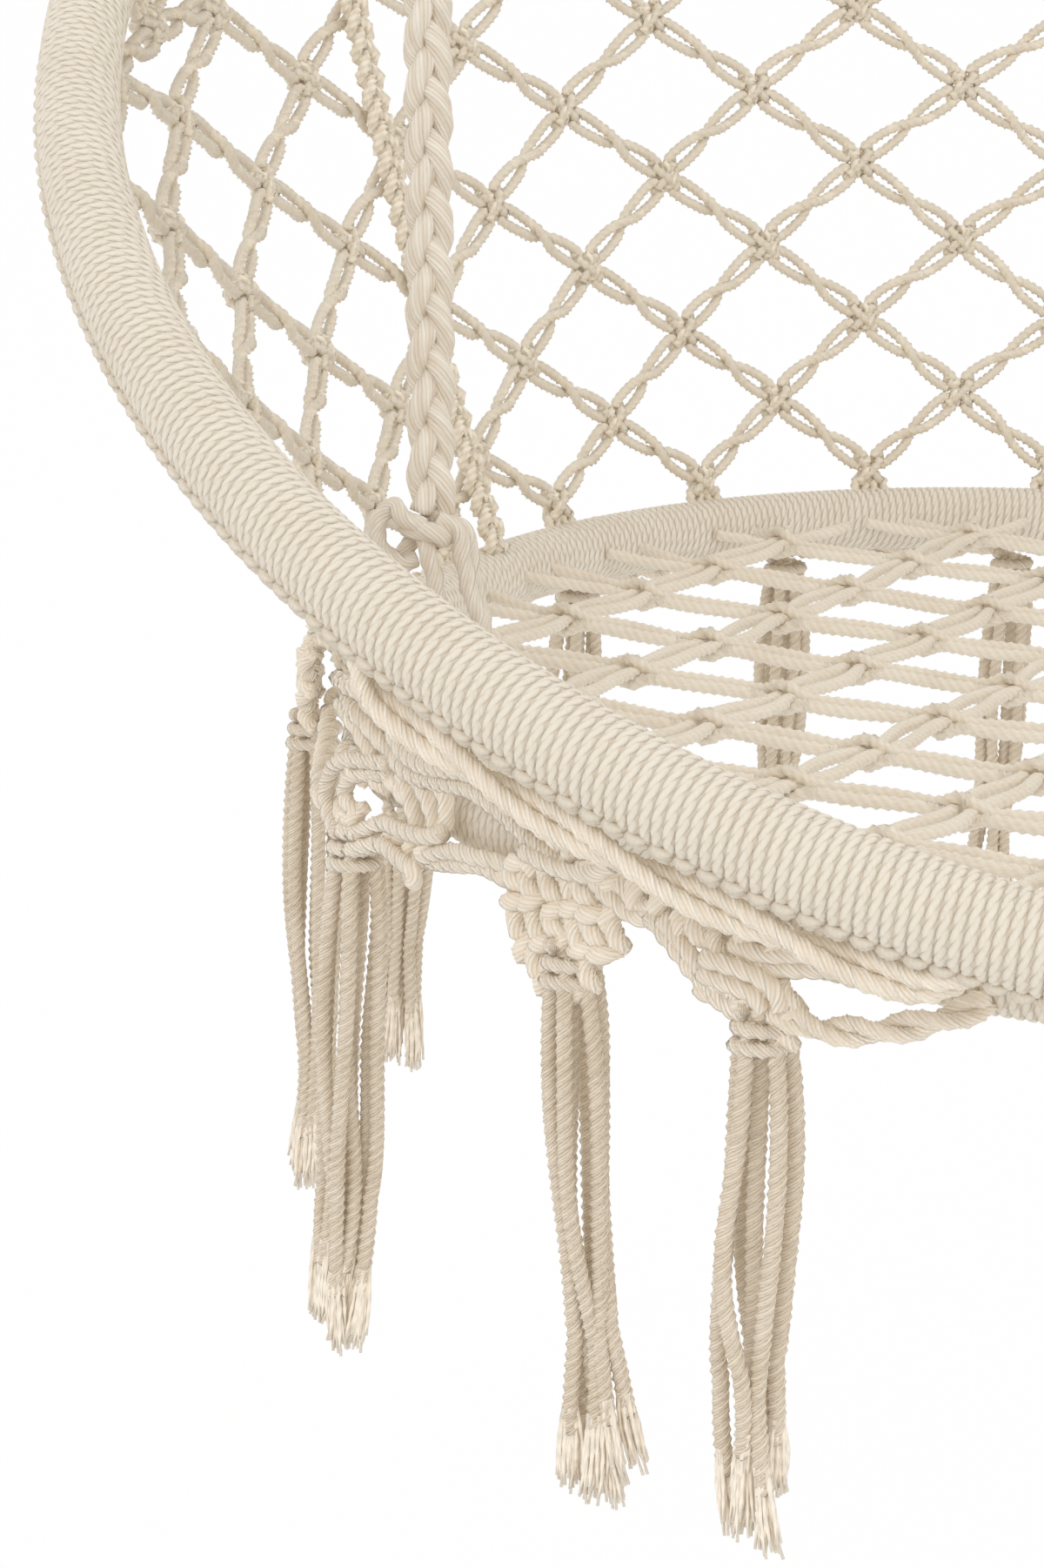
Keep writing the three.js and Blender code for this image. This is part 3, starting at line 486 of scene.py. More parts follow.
def rope(name, path, plaited, replaces):
    line = resample(path, int(lengthOf(path) / ropes["step"]))
    if plaited:
        radius = ropes["radius"]
        s, through, across = alongLine(line)
        strands = braidStrands(line, s, across, through, ropes)
        part = sweep(strands, ropes["strandRadius"], turned=True, **plait)
    else:
        radius = ropes["bridleRadius"]
        part = sweep(laidStrands(line, 3, radius / 2, ropes["bridleRepeat"]), radius / 2, **laid)
    length = declareCord(meshPiece(name, [part], "rope", replaces), path, 30)
    print(name, "is", round(length, 3), "m long")


for sideName, side in (("left", -1), ("right", 1)):
    rope("frontRope_" + sideName, frontRopePath(side), True, ["front_rope_" + sideName])
    rope("rearRope_" + sideName, rearRopePath(side), True, [])
    rope("bridle_" + sideName, bridlePath(side), False, [])
print("ropes made")

# Places on the skirt: the outer side of the seat hoop, further out over the turns of the front ropes' ties
skirt = {
    "degrees": [-138, -126.5, -103, -79, -57, -36, -14.5, 6, 29.5, 54, 79, 103, 126.5, 138],
    "reach": 303.0, "tiedReach": 310.0, "tiedZone": 42.0, "blend": 16, "cord": 2.65, "knotCord": 3.0,
    "shift": {0: 1.0, 1: 8.0}, "out": {3: 8.0},
}
skirtAngles = np.radians(skirt["degrees"])
for k, shift in skirt["shift"].items():
    skirtAngles[k] += shift / hoopSizes["seatRadius"]


def skirtPlaces(angle, shift, height, out):
    # places beside each angle: shift round the hoop, height, and distance out from the skirt
    turned = np.atleast_1d(angle + np.asarray(shift) / seatHoop["radius"])
    apart = np.abs(np.abs(turned) - ropes["tieColumn"] * column) * seatHoop["radius"]
    blend = np.clip((skirt["tiedZone"] - apart) / skirt["blend"], 0, 1)
    reach = skirt["reach"] + (skirt["tiedReach"] - skirt["reach"]) * blend + out
    middle = reach[:, None] * np.stack([np.sin(turned), np.cos(turned), np.zeros_like(turned)], -1)
    middle[:, 2] = height
    return middle


# Tassels: a bound head under each cluster of the skirt, with loose twisted strands
tassels = {
    "headTop": -22.0, "strands": 7, "strandRadius": 2.9, "rings": 90, "start": -1.0, "length": 158.0,
    "shorter": (2, 16), "lay": 10.5, "waves": (5.0, 3.4, 2.4), "bulge": (4.2, 5.2, 2.4),
    "longer": {0: -9.0, 1: 6.0, 2: 4.0, 3: 12.0, 4: 12.0},
    "lean": {0: (6, 2), 1: (15, -3), 2: (-2, 0), 3: (4, 0)},
}
band = {"radius": 7.2, "cord": 2.6, "turns": 2.1, "rings": 96}
bandDrop, bandAxis = [0, 0, -4], unit(np.array([0.12, 0.1, 1.0]))
brushes = {"yarns": 34, "rings": 5, "inset": 9, "length": 30.0, "radius": 0.95, "groove": -0.2}


def tasselHead(k):
    return skirtPlaces(skirtAngles[k], 0, tassels["headTop"], skirt["out"].get(k, 0))[0]


def tasselStrands(k, rng):
    # strands bulge under the binding, draw together lower down and open again at their ends
    count, rings = tassels["strands"], tassels["rings"]
    t = np.linspace(0, 1, rings)[None, :, None]
    turn = skirtAngles[k] + (np.arange(count) + rng.uniform(-0.25, 0.25, count)) / (count - 1) * 2 * np.pi
    way = np.stack([np.cos(turn), np.sin(turn), np.zeros(count)], -1)[:, None]
    full = rng.uniform(0.75, 1.15, (count, 1, 1))
    inner, middle, end = tassels["bulge"]
    bulge = inner + middle * full * np.sin(np.pi * np.clip(1.2 * t**0.75, 0, 1)) ** 0.7 + end * t**3
    bulge[-1] *= 0.2  # the last strand hangs in the middle
    lean = tassels["lean"].get(k, tuple(rng.uniform(-6, 6, 2)))
    drifts = np.moveaxis(rng.uniform(-1, 1, (count, 2, 3)), 2, 0)[:, :, None]
    heights = zip((1, 2, 3), drifts, tassels["waves"])
    waves = sum(drift * np.sin(np.pi * j * t + drift * 3) * t * height for j, drift, height in heights)
    shift = np.concatenate([waves + np.array(lean) * t**1.4, np.zeros((count, rings, 1))], -1)
    shorter = rng.uniform(*tassels["shorter"], count)[:, None, None]
    length = tassels["length"] + tassels["longer"].get(k, 0) - shorter
    start = tassels["start"]
    down = np.concatenate([np.zeros((count, rings, 2)), start - (length + start) * t], -1)
    return tasselHead(k) + way * bulge + shift + down


def frayedEnds(strands, rng):
    # each strand's last stretch opens into a brush of fine yarns
    count, yarns, rings = len(strands), brushes["yarns"], brushes["rings"]
    end, way = strands[:, -1], unit(strands[:, -1] - strands[:, -6])
    t = np.linspace(0, 1, rings)[None, None, :, None]
    spin = rng.uniform(0, 2 * np.pi, (count, yarns))
    flat = np.stack([np.cos(spin), np.sin(spin), np.zeros_like(spin)], -1)[:, :, None]
    reach = rng.uniform(0.3, 2.0, (count, yarns))[:, :, None, None]
    spread = rng.uniform(0.2, 2.6, (count, yarns))[:, :, None, None]
    stretch = brushes["length"] * rng.uniform(0.74, 1.0, (count, yarns))[:, :, None, None]
    curl = rng.uniform(-1.4, 1.4, (count, yarns, 1, 3)) * np.sin(np.pi * t) * [1, 1, 0]
    start = (end - way * brushes["inset"])[:, None, None]
    paths = start + flat * (reach + spread * t**1.5) + way[:, None, None] * stretch * t + curl
    thin = brushes["radius"] * np.linspace(1, 0.55, rings)
    brush = sweep(paths.reshape(-1, rings, 3), thin, lay=40, sides=6, depth=0)
    # the groove's value marks open yarns, which take less of the painted shade and so are paler than the
    # plies they come from
    return brush | {"groove": np.full(len(brush["points"]), brushes["groove"])}


def bandTurns(middle, axis, radius, cord, turns, rings):
    # a cord wound round an axis: a flat helix
    t = np.linspace(0, 1, rings)
    normal = unit(np.cross(axis, [0.3, 1.0, 0.1]))
    rise = (t - 0.5) * 2 * cord * turns
    way = turnedFrom(2 * np.pi * turns * t, normal, np.cross(axis, normal))
    return middle + way * radius + rise[:, None] * axis


def tasselCords(paths):
    # darker than the band and the open yarns of the same piece: the strands' painted shade is raised all
    # along them
    cords = thickCord(paths, tassels["strandRadius"], tassels["lay"], depth=0.26)
    return cords | {"groove": 0.75 + 0.6 * cords["groove"]}


for k in range(len(skirtAngles)):
    rng = np.random.default_rng(400 + k)
    name = "tassel_" + str(k + 1).zfill(2)
    strands = tasselStrands(k, rng)
    turns = bandTurns(tasselHead(k) + bandDrop, bandAxis, **band)
    wound = thickCord(turns[None], band["cord"], 10, 0.3)
    parts = [tasselCords(strands[1:]), frayedEnds(strands, rng), wound]
    meshPiece(name + "_bundle", parts, "tassel", [name])
    strand = meshPiece(name + "_strand", [tasselCords(strands[:1])], "tassel")
    declareCord(strand, strands[0], 24)
print("tassels made")

# Hoop wraps: cord laid side by side round the tube, in pairs that end in a row of purl beads
wraps = {
    "backTurns": 704, "seatTurns": 522, "sides": 20, "stations": 4, "seat": 12.75, "crest": 13.6,
    "parting": 0.4, "slip": 0.14, "lays": 17 / 3, "beadTurn": np.radians(-28),
}


def wrapSurface(hoop, turns, beadTurn=None):
    # radius = seat + (crest - seat)|sin(pi u)|^0.5, u one per turn of cord; pairs close up towards the beads
    u = np.arange(turns * wraps["stations"] + 1) / wraps["stations"]
    angle = u / turns * 2 * np.pi
    phi = np.arange(wraps["sides"] + 1) / wraps["sides"] * 2 * np.pi
    hump = (np.abs(np.sin(np.pi * u)) ** 0.5)[:, None]
    near = np.zeros_like(phi) if beadTurn is None else np.clip(np.cos(phi - beadTurn), 0, 1) ** 4
    parted = (np.abs(np.cos(np.pi * u / 2)) ** 6)[:, None] * near * wraps["parting"]
    radius = wraps["seat"] + (wraps["crest"] - wraps["seat"]) * hump - parted
    slip = -np.sin(np.pi * u)[:, None] * near * wraps["slip"] / turns * 2 * np.pi
    place = angle[:, None] + slip + 0.5 / turns * 2 * np.pi * np.sin(phi)
    points = hoopPoint(hoop, place) + radius[..., None] * turnedFrom(phi, outward(hoop, place), axisOf(hoop))
    lays = phi * wraps["lays"] * woundCord["lay"] / 2 / np.pi
    uv = np.stack(np.broadcast_arrays(u[:, None] * woundCord["width"], lays), -1)
    # the groove mask is painted shade between the turns of cord, deeper where the pairs part near the beads
    return sheetRound(points[:-1], uv, (1 - hump + parted)[:-1])


backWrap = wrapSurface(backHoop, wraps["backTurns"], wraps["beadTurn"])
meshPiece("backHoopWrap", [backWrap], "wrap", ["back_hoop_wrap"])
meshPiece("seatHoopWrap", [wrapSurface(seatHoop, wraps["seatTurns"])], "wrap", ["seat_hoop_wrap"])

beads = {
    "count": 352, "radius": 1.75, "length": 6.9, "turn": -34.0, "underTurn": -60.0, "under": (148, 162),
    "reach": 14.2, "clear": 22, "turnApart": 8.5, "slants": (0.2, 0.02, -0.16), "bow": 7.0,
    "swell": np.array([0.5, 0.9, 1.05, 1.08, 1.05, 0.9, 0.5]),
}


def purlBeads():
    # each bead is three short turns of cord laid along the hoop, one under the other
    angle = (np.arange(beads["count"]) + 0.5) / beads["count"] * 2 * np.pi
    fromRear = np.abs((angle + np.pi) % (2 * np.pi) - np.pi)
    clear = np.ones(len(angle), bool)
    for held in (ropes["rearColumn"], ropes["bridleColumn"]):
        clear &= np.abs(fromRear - held * column) > beads["clear"] / backHoop["radius"]
    angle = angle[clear]
    radial, axis = outward(backHoop, angle), axisOf(backHoop)
    tangent = np.cross(axis, radial)
    rng = np.random.default_rng(31)
    # the row turns under the hoop towards the front
    first, last = beads["under"]
    under = np.clip((np.degrees(fromRear[clear]) - first) / (last - first), 0, 1)
    row = beads["turn"] + (beads["underTurn"] - beads["turn"]) * under
    t = np.linspace(-0.5, 0.5, 7)[None, :, None]
    parts = []
    for k in range(3):
        turn = np.radians(row + (1 - k) * beads["turnApart"] + rng.uniform(-1.2, 1.2, len(angle)))
        way, down = turnedFrom(turn, radial, axis), turnedFrom(turn, axis, -radial)
        along = tangent * rng.uniform(-0.3, 0.3, (len(angle), 1))
        middle = hoopPoint(backHoop, angle) + way * beads["reach"] + along
        line = unit(tangent + down * beads["slants"][k])[:, None]
        bow = -way[:, None] * beads["bow"] * t**2
        paths = middle[:, None] + line * beads["length"] * (1 - 0.08 * abs(k - 1)) * t + bow
        parts.append(sweep(paths, beads["radius"] * beads["swell"], lay=16, depth=0.1))
    return parts


meshPiece("purlBeads", purlBeads(), "bead", ["back_hoop_ridge_" + str(k) for k in range(1, 5)])
print("hoops wrapped")

# Back net
net = {
    "cord": 2.35, "lay": 9.5, "knotSize": 0.88, "knotRings": 16, "knotLay": 10,
    "seatRow": hoopSizes["wrapped"] + 0.3 + 7.5, "held": 10.0, "lastColumn": 17, "panels": 7,
    "rearPitch": 32.7, "sidePitch": 30.0, "sideBase": 3.0, "belly": 9.0, "barReach": 3.6,
    "barApart": 2.1, "barOpening": 0.44, "footApart": 9, "footDepth": 10.5,
}


def netPoint(angle, share):
    low, high = hoopPoint(seatHoop, angle), hoopPoint(backHoop, angle)
    highest = backHoop["centre"][2] + backHoop["radius"] * np.sin(backHoop["tilt"])
    room = np.maximum(0, high[..., 2]) / highest
    share = np.asarray(share)
    swell = net["belly"] * room * 4 * share * (1 - share)
    outwards = np.stack([np.sin(angle), np.cos(angle), np.zeros_like(angle)], -1)
    return low + (high - low) * share[..., None] + outwards * swell[..., None]


def shareFor(hoop, angle, distance):
    line = hoopPoint(backHoop, angle) - hoopPoint(seatHoop, angle)
    tangent = np.cross(axisOf(hoop), outward(hoop, angle))
    return distance / np.sqrt((line**2).sum(-1) - (line * tangent).sum(-1) ** 2)


def columnRows(index):
    angle = np.array(index * column)
    rise = (hoopPoint(backHoop, angle) - hoopPoint(seatHoop, angle))[2]
    rearness = max(0.0, np.cos(angle)) ** 2
    first = shareFor(seatHoop, angle, net["seatRow"]) * rise
    base = net["sideBase"] + (first - net["sideBase"]) * rearness
    pitch = net["sidePitch"] + (net["rearPitch"] - net["sidePitch"]) * rearness
    held = net["held"] if abs(index) in (ropes["rearColumn"], ropes["bridleColumn"]) else 0
    end = 1 - shareFor(backHoop, angle, net["seatRow"] + held)
    return angle, rise, first, base, pitch, end


def countRows():
    rows = {}
    for index in range(net["lastColumn"] + 1):
        _, rise, _, base, pitch, end = columnRows(index)
        wanted = (end * rise - base) / pitch
        if index == 0:
            rows[0] = 2 * int(np.floor((wanted - 1) / 2 + 0.5)) + 1
            continue
        before = rows[index - 1]
        nearer = before - 1 if abs(before - 1 - wanted) < abs(before + 1 - wanted) else before + 1
        rows[index] = max(0, nearer)
    return rows | {-index: row for index, row in rows.items()}


lastRow = countRows()


def panelOf(index):
    return (index + net["lastColumn"]) * net["panels"] // (2 * net["lastColumn"] + 1)


def netKnotFrames():
    # middle, unit vectors round and up the net, and outward normal of every knot
    keys, shares = [], []
    for index in range(-net["lastColumn"], net["lastColumn"] + 1):
        _, rise, first, base, pitch, end = columnRows(index)
        for j in range(abs(index + 1) % 2, lastRow[index] + 1, 2):
            keys.append((index, j))
            share = (base + pitch * j + (first - base) * np.exp(-j)) / rise
            shares.append(end if j == lastRow[index] else share)
    angle, shares = np.array([k[0] for k in keys]) * column, np.array(shares)
    middle = netPoint(angle, shares)
    around = netPoint(angle + column, shares) - netPoint(angle - column, shares)
    rise = unit(hoopPoint(backHoop, angle) - hoopPoint(seatHoop, angle))
    normal = unit(np.cross(rise, around))
    up = unit(np.cross(around, normal))
    where = {key: k for k, key in enumerate(keys)}
    return keys, where, middle, unit(around), up, normal


# A knot of five cords (across, up, out): two cross on the slant, a turn holds them and two fill its back
knotCords = [
    [(-6, 8, 0), (-5.4, 5, 1.8), (-2.2, 2.2, 3.9), (2.2, -2.2, 3.9), (5.4, -5, 1.8), (6, -8, 0)],
    [(6, 8, 0), (5.6, 5, 1.8), (2.8, 2.4, 1), (-2.8, -2.4, 1), (-5.6, -5, 1.8), (-6, -8, 0)],
    [(3.2, 2.4, -3.4), (0.6, 5.4, 0.4), (-1.6, 3, 5.4), (-2, -1.4, 6)]
    + [(-0.8, -5, 2.6), (2.4, -4, -2.2), (3.2, 1.6, -3.6)],
    [(-6, 5.5, -1), (-3.4, 2, -2.4), (1, -2, -3), (5.8, -6, -1)],
    [(6, 5.5, -1), (2.2, 1.8, -1.6), (-2, -2, -2.2), (-5.8, -6, -1)],
]


def tiedKnots(own):
    # mirrored on every second knot, and placed in every knot's own frame
    size = net["knotSize"]
    mirror = np.where(np.arange(len(own)) % 2, size, -size)[:, None, None]
    parts = []
    for places in knotCords:
        shape = smooth(places, net["knotRings"])[None]
        paths = (
            middles[own][:, None]
            + shape[..., :1] * mirror * acrosses[own][:, None]
            + size * shape[..., 1:2] * ups[own][:, None]
            + size * shape[..., 2:] * normals[own][:, None]
        )
        parts.append(sweep(paths, net["cord"], lay=net["knotLay"]))
    return parts


def pairedCords(start, finish, normal, bulge, halfTurns):
    # two cords that part near either end, close up and cross in the middle, with a ring in each millimetre
    axis = finish - start
    rings = max(10, int(np.linalg.norm(axis, axis=-1).max()))
    beside = unit(np.cross(normal, axis))
    normal = unit(np.cross(axis, beside))
    t = np.linspace(0, 1, rings)
    away = np.clip(np.minimum(t, 1 - t) / net["barOpening"], 0, 1)
    apart = net["barApart"] + bulge * np.sin(np.pi * away**0.6)
    ease = np.clip((t - 0.3) / 0.4, 0, 1)
    turn = np.pi * halfTurns * ease**2 * (3 - 2 * ease)
    line = start[:, None] + axis[:, None] * t[None, :, None]
    offset = apart[:, None] * turnedFrom(turn, beside[:, None], normal[:, None])
    return np.concatenate([line + offset, line - offset])


def netBars(own):
    # a pair of cords from each knot to each of the two knots on its right
    starts, finishes, faces = [], [], []
    reach = net["barReach"]
    for k in own:
        index, j = keys[k]
        for step in (-1, 1):
            other = where.get((index + 1, j + step))
            if other is None:
                continue
            starts.append(middles[k] + reach * acrosses[k] + step * reach * ups[k])
            finishes.append(middles[other] - reach * acrosses[other] - step * reach * ups[other])
            faces.append(normals[k] + normals[other])
    return pairedCords(np.array(starts), np.array(finishes), unit(np.array(faces)), 1.2, 1)


def netFeet(own):
    # short pairs of cords from the first and last knots into the wraps
    feet, tops, outs = [], [], []
    for k in own:
        index, j = keys[k]
        for hoop, isEnd, sense in ((seatHoop, j == 0, -1), (backHoop, j == lastRow[index], 1)):
            for way in (-1, 1) if isEnd else ():
                target = hoopPoint(hoop, np.array(index * column + way * net["footApart"] / hoop["radius"]))
                tops.append(target + unit(middles[k] - target) * net["footDepth"])
                feet.append(middles[k] + way * 4.0 * acrosses[k] + sense * 4.5 * ups[k])
                outs.append(normals[k])
    return pairedCords(np.array(feet), np.array(tops), np.array(outs), 0.3, 0)


keys, where, middles, acrosses, ups, normals = netKnotFrames()
barCount = 0
for panel in range(net["panels"]):
    own = np.array([k for k, key in enumerate(keys) if panelOf(key[0]) == panel])
    bars, feet = netBars(own), netFeet(own)
    barCount += len(bars)
    cords = [sweep(paths, net["cord"], lay=net["lay"], depth=0.24) for paths in (bars, feet)]
    number = str(panel + 1)
    meshPiece("backNet_" + number, tiedKnots(own) + cords, "net", ["back_net_" + number])
print("back net made,", barCount, "cords between knots")

# Seat net: pairs of cords that pass through each other where they cross
seat = {
    "along": np.array([51.0, -26.0]), "across": np.array([37.0, 39.0]), "start": np.array([0.0, 20.0]),
    "sag": 10.0, "reach": 273.0, "margin": 14, "overlap": 4, "cord": 2.6, "step": 1.25, "apart": 2.7,
    "eye": 2.0, "bend": 1.2, "crossing": 5.5, "crossRise": 4.7, "rim": 38, "rimApart": 7.0,
    "rimRise": 2.0,
}


def seatPoint(flat):
    height = -seat["sag"] * (1 - (flat**2).sum(-1) / seat["reach"] ** 2)
    return np.concatenate([flat, height[..., None]], -1)


def seatLines(step, other, opens):
    # straight pairs on the lattice's lines, cut at the hoop; where they cross, one pair opens up and down
    length = np.linalg.norm(step)
    way = step / length
    square = np.array([-way[1], way[0]])
    beside = np.array([*square, 0])
    paths = []
    for k in range(-12, 13):
        node = seat["start"] + k * other
        offset = seat["start"] @ square + k * (other @ square)
        if abs(offset) > seat["reach"] - seat["margin"]:
            continue
        half = np.sqrt((seat["reach"] + seat["overlap"]) ** 2 - offset**2)
        x = np.linspace(-half, half, int(2 * half / seat["step"]))
        phase = (x - node @ way) / length
        near = np.exp(-(((phase - np.round(phase)) * length / seat["crossing"]) ** 2))
        rim = np.clip((np.abs(x) - (half - seat["rim"])) / seat["rim"], 0, 1) ** 1.3
        wander = 0.9 * np.sin(x / 19 + 2.1 * k) + seat["bend"] * np.sin(2 * np.pi * phase) * (-1) ** k
        gap = seat["apart"] + seat["eye"] * np.sin(np.pi * phase) ** 2 + 0.5 * np.sin(x / 13 + k)
        base = seatPoint(x[:, None] * way + offset * square)
        for sense in (1, -1):
            apart = sense * (gap * (1 - near * opens) + seat["rimApart"] * rim) + wander
            rise = sense * near * opens * seat["crossRise"] + seat["rimRise"] * rim
            paths.append(base + apart[:, None] * beside + rise[:, None] * np.array([0, 0, 1.0]))
    return paths


seatParts = [
    sweep(path[None], seat["cord"], lay=11, depth=0.24)
    for path in seatLines(seat["along"], seat["across"], 1) + seatLines(seat["across"], seat["along"], 0)
]
meshPiece("seatNet", seatParts, "seat", ["seat_net"])
print("seat net made")

# Skirt: knots over each tassel, and a pair of cords to the next. A row of a knot runs from one place (shift
# round the hoop, height) to another and is made of short bulging cords. What a tassel's own list holds is
# mirrored on the right.
knotRows = {
    "rear": [((12, 1), (-12, 1)), ((9, -6), (-9, -6)), ((6, -13), (-6, -13))],
    "near": [((15, 4), (-15, 4)), ((14, -3), (-14, -3)), ((10, -10), (-10, -10)), ((6, -17), (-6, -17))],
    0: [
        ((50, 3), (34, 3)),
        ((27, -1), (14, -5)),
        ((8, 1), (-2, 0)),
        ((7, -14), (-8, -14)),
        ((6, -20), (-6, -20)),
        ((5, -25), (-5, -25)),
    ],
    1: [
        ((23, -1), (-12, 7)),
        ((23, -7), (-12, 1)),
        ((22, -13), (-14, -5)),
        ((20, -19), (-16, -11)),
        ((17, -25), (-12, -18)),
        ((12, -30), (-8, -25)),
        ((8, -34), (-4, -31)),
    ],
    2: [((4, -16), (-40, -14)), ((6, 3), (-26, 3))],
}
knotLeans = {0: 1.2}
# Longer cords of the knots through places (shift round the hoop, height, distance out)
clusterCords = {
    0: [
        [(36, -1, 3), (27, -8, 3), (20, -14, 3), (11, -20, 3), (3, -23, 3)],
        [(32, -1, 3), (23, -8, 3), (16, -14, 3), (9, -17, 2)],
        [(17, -8, 5), (8, -8, 5), (0, -9, 5), (-5, -12, 5), (-7, -17, 5)],
        [(18, -13, 4), (9, -14, 4), (2, -15, 4), (-2, -19, 4)],
        [(19, -18, 3), (11, -20, 3), (3, -22, 3)],
        [(10, -7, 2), (0, -7, 2), (-10, -5, 2), (-19, -3, 2), (-26, -4, 2)],
        [(10, -3, 2), (0, -3, 3), (-10, -1, 2), (-19, -1, 1), (-26, 0, 1)],
    ],
    1: [
        [(17, 5, 5), (3, 4, 5), (-10, 6, 5), (-17, 11, 5)],
        [(-9, 4, 3), (-16, 0, 3), (-24, -3, 3), (-30, -1, 3)],
        [(-10, 7, 2), (-18, 4, 2), (-26, 0, 2), (-31, 2, 2)],
    ],
    2: [
        [(8, 21, 3), (-2, 18, 3), (-8, 12, 3), (-14, 4, 3)],
        [(12, 28, 3), (-8, 28, 4), (-18, 22, 4), (-27, 16, 4), (-40, 15, 4)]
        + [(-55, 18, 4), (-71, 21, 4), (-88, 18, 4), (-112, 9, 4)],
        [(6, 24, 2), (-8, 18, 3), (-18, 12, 3), (-31, 9, 3), (-49, 12, 3)]
        + [(-65, 15, 3), (-79, 13, 3), (-97, 7, 3), (-116, 3, 3)],
        [(-19, 9, 5), (-2, 5, 5), (11, -3, 5), (16, -13, 5), (8, -20, 5), (-8, -18, 5)],
        [(-18, 5, 3), (-3, 0, 3), (3, -8, 3), (-4, -12, 3), (3, -19, 3), (8, -25, 3)],
        [(-24, 7, 2), (-29, 1, 2), (-34, -6, 2), (-31, -13, 2)],
        [(-33, 9, 2), (-41, 4, 2), (-46, -3, 2), (-45, -9, 2)],
        [(-44, 12, 2), (-51, 8, 2), (-52, 0, 2), (-48, -6, 2)],
        [(-5, -19, 5), (-18, -11, 5), (-31, -9, 5), (-45, -6, 5), (-55, -2, 5)],
        [(-5, -24, 6), (-18, -18, 6), (-31, -18, 6), (-40, -19, 6), (-37, -24, 4)]
        + [(-28, -22, 1), (-22, -18, -2)],
        [(-32, -21, 3), (-44, -13, 3), (-57, -7, 3), (-69, -5, 3), (-80, -4, 1), (-90, -6, 0)],
        [(-31, -18, 1), (-45, -15, 1), (-59, -11, 1), (-69, -8, 1), (-80, -8, 1), (-90, -10, 0)],
    ],
}

rowCords = {"spacing": 7.6, "half": 5.8, "rise": 3.6, "sink": 1.0, "points": 11, "lay": 19, "depth": 0.22}
# Pairs of cords: the one from each front tassel towards the middle, and what all pairs have in common
frontSwag = [(-3, -19, 2), (-20, -20, 3), (-38, -15, 3), (-52, -9, 1), (-60, -5, -4)]
swagPair = {"reach": 2.1, "repeat": 34, "step": 1.2, "lay": 15}


def hoopPlaces(angle, places):
    places = np.asarray(places, float)
    flat = places.reshape(-1, 3)
    return skirtPlaces(angle, flat[:, 0], flat[:, 1], flat[:, 2]).reshape(places.shape)


def bulgingRow(first, last, out, lean, rng):
    # each cord bulges out between its ends by rise(1 - t^2)
    first, last = np.array(first, float), np.array(last, float)
    count = max(2, int(round(np.linalg.norm(last - first) / rowCords["spacing"])) + 1)
    middle = first + (last - first) * np.linspace(0, 1, count)[:, None] + rng.uniform(-1.2, 1.2, (count, 2))
    tilt = lean + rng.uniform(-0.5, 0.5, (count, 1))
    t = np.linspace(-1, 1, rowCords["points"])
    flat = middle[:, None] + rowCords["half"] * t[None, :, None] * np.stack([np.cos(tilt), np.sin(tilt)], -1)
    rise = out + rowCords["rise"] * (1 - t**2) - rowCords["sink"] + rng.uniform(-0.5, 0.5, (count, 1))
    return np.concatenate([flat, rise[..., None]], -1)


def skirtKnots():
    # rows of bulging cords, leaning the other way in every second row, and the knot's longer cords
    rng = np.random.default_rng(77)
    swell = 1.1 * skirt["knotCord"] * (1 - 0.35 * np.linspace(-1, 1, rowCords["points"]) ** 4)
    parts = []
    for k, angle in enumerate(skirtAngles):
        listed, mirror = min(k, len(skirtAngles) - 1 - k), 1 if k < len(skirtAngles) / 2 else -1
        out = skirt["out"].get(listed, 0)
        rows = knotRows.get(listed, knotRows["near" if abs(np.degrees(angle)) > 70 else "rear"])
        for row, (first, last) in enumerate(rows):
            lean = knotLeans.get(listed, 0.85) * (1 if row % 2 else -1)
            places = bulgingRow(first, last, out, lean, rng) * [mirror, 1, 1]
            parts.append(thickCord(hoopPlaces(angle, places), swell, rowCords["lay"], rowCords["depth"]))
        for places in clusterCords.get(listed, []):
            line = hoopPlaces(angle, smooth(np.array(places, float) * [mirror, 1, 1], len(places) * 9))
            parts.append(thickCord(line[None], skirt["knotCord"], 17, rowCords["depth"]))
    return parts


def swag(angle, places):
    # a twisted pair of cords through places (shift round the hoop, height, distance out)
    points = hoopPlaces(angle, places)
    line = resample(smooth(points, 200), max(24, int(lengthOf(points) / swagPair["step"])))
    pair = laidStrands(line, 2, swagPair["reach"], swagPair["repeat"])
    return thickCord(pair, skirt["cord"], swagPair["lay"])


skirtParts = skirtKnots()
for sense in (1, -1):
    skirtParts.append(swag(sense * skirtAngles[0], np.array(frontSwag) * [sense, 1, 1]))
for k in range(2, len(skirtAngles) - 3):
    span = (skirtAngles[k + 1] - skirtAngles[k]) * hoopSizes["seatRadius"]
    places = [(5, -16, 1), (span * 0.3, -19, 1), (span * 0.7, -19, 1), (span - 5, -16, 1)]
    skirtParts.append(swag(skirtAngles[k], places))
meshPiece("skirtKnots", skirtParts, "skirt", ["skirt"])
print("skirt made")

# Ties, hitches and collars
turnsOn = {
    "tieTurns": 5, "tieCord": 3.0, "tieReach": 16.0, "hitchTurns": 6, "hitchCord": 3.2,
    "hitchReach": 16.3, "lay": 20, "legCord": 3.2, "legLay": 30, "knotDrop": 6, "knotAside": 1.5,
    "knotCord": 3.8, "knotLay": 34, "collarCord": 2.9, "depth": 0.18,
}
tieKnot = {"radius": 6.0, "cord": 0.8, "turns": 1.1, "rings": 50}
collar = {"radius": 10.2, "cord": 2.7, "turns": 4, "rings": 120}


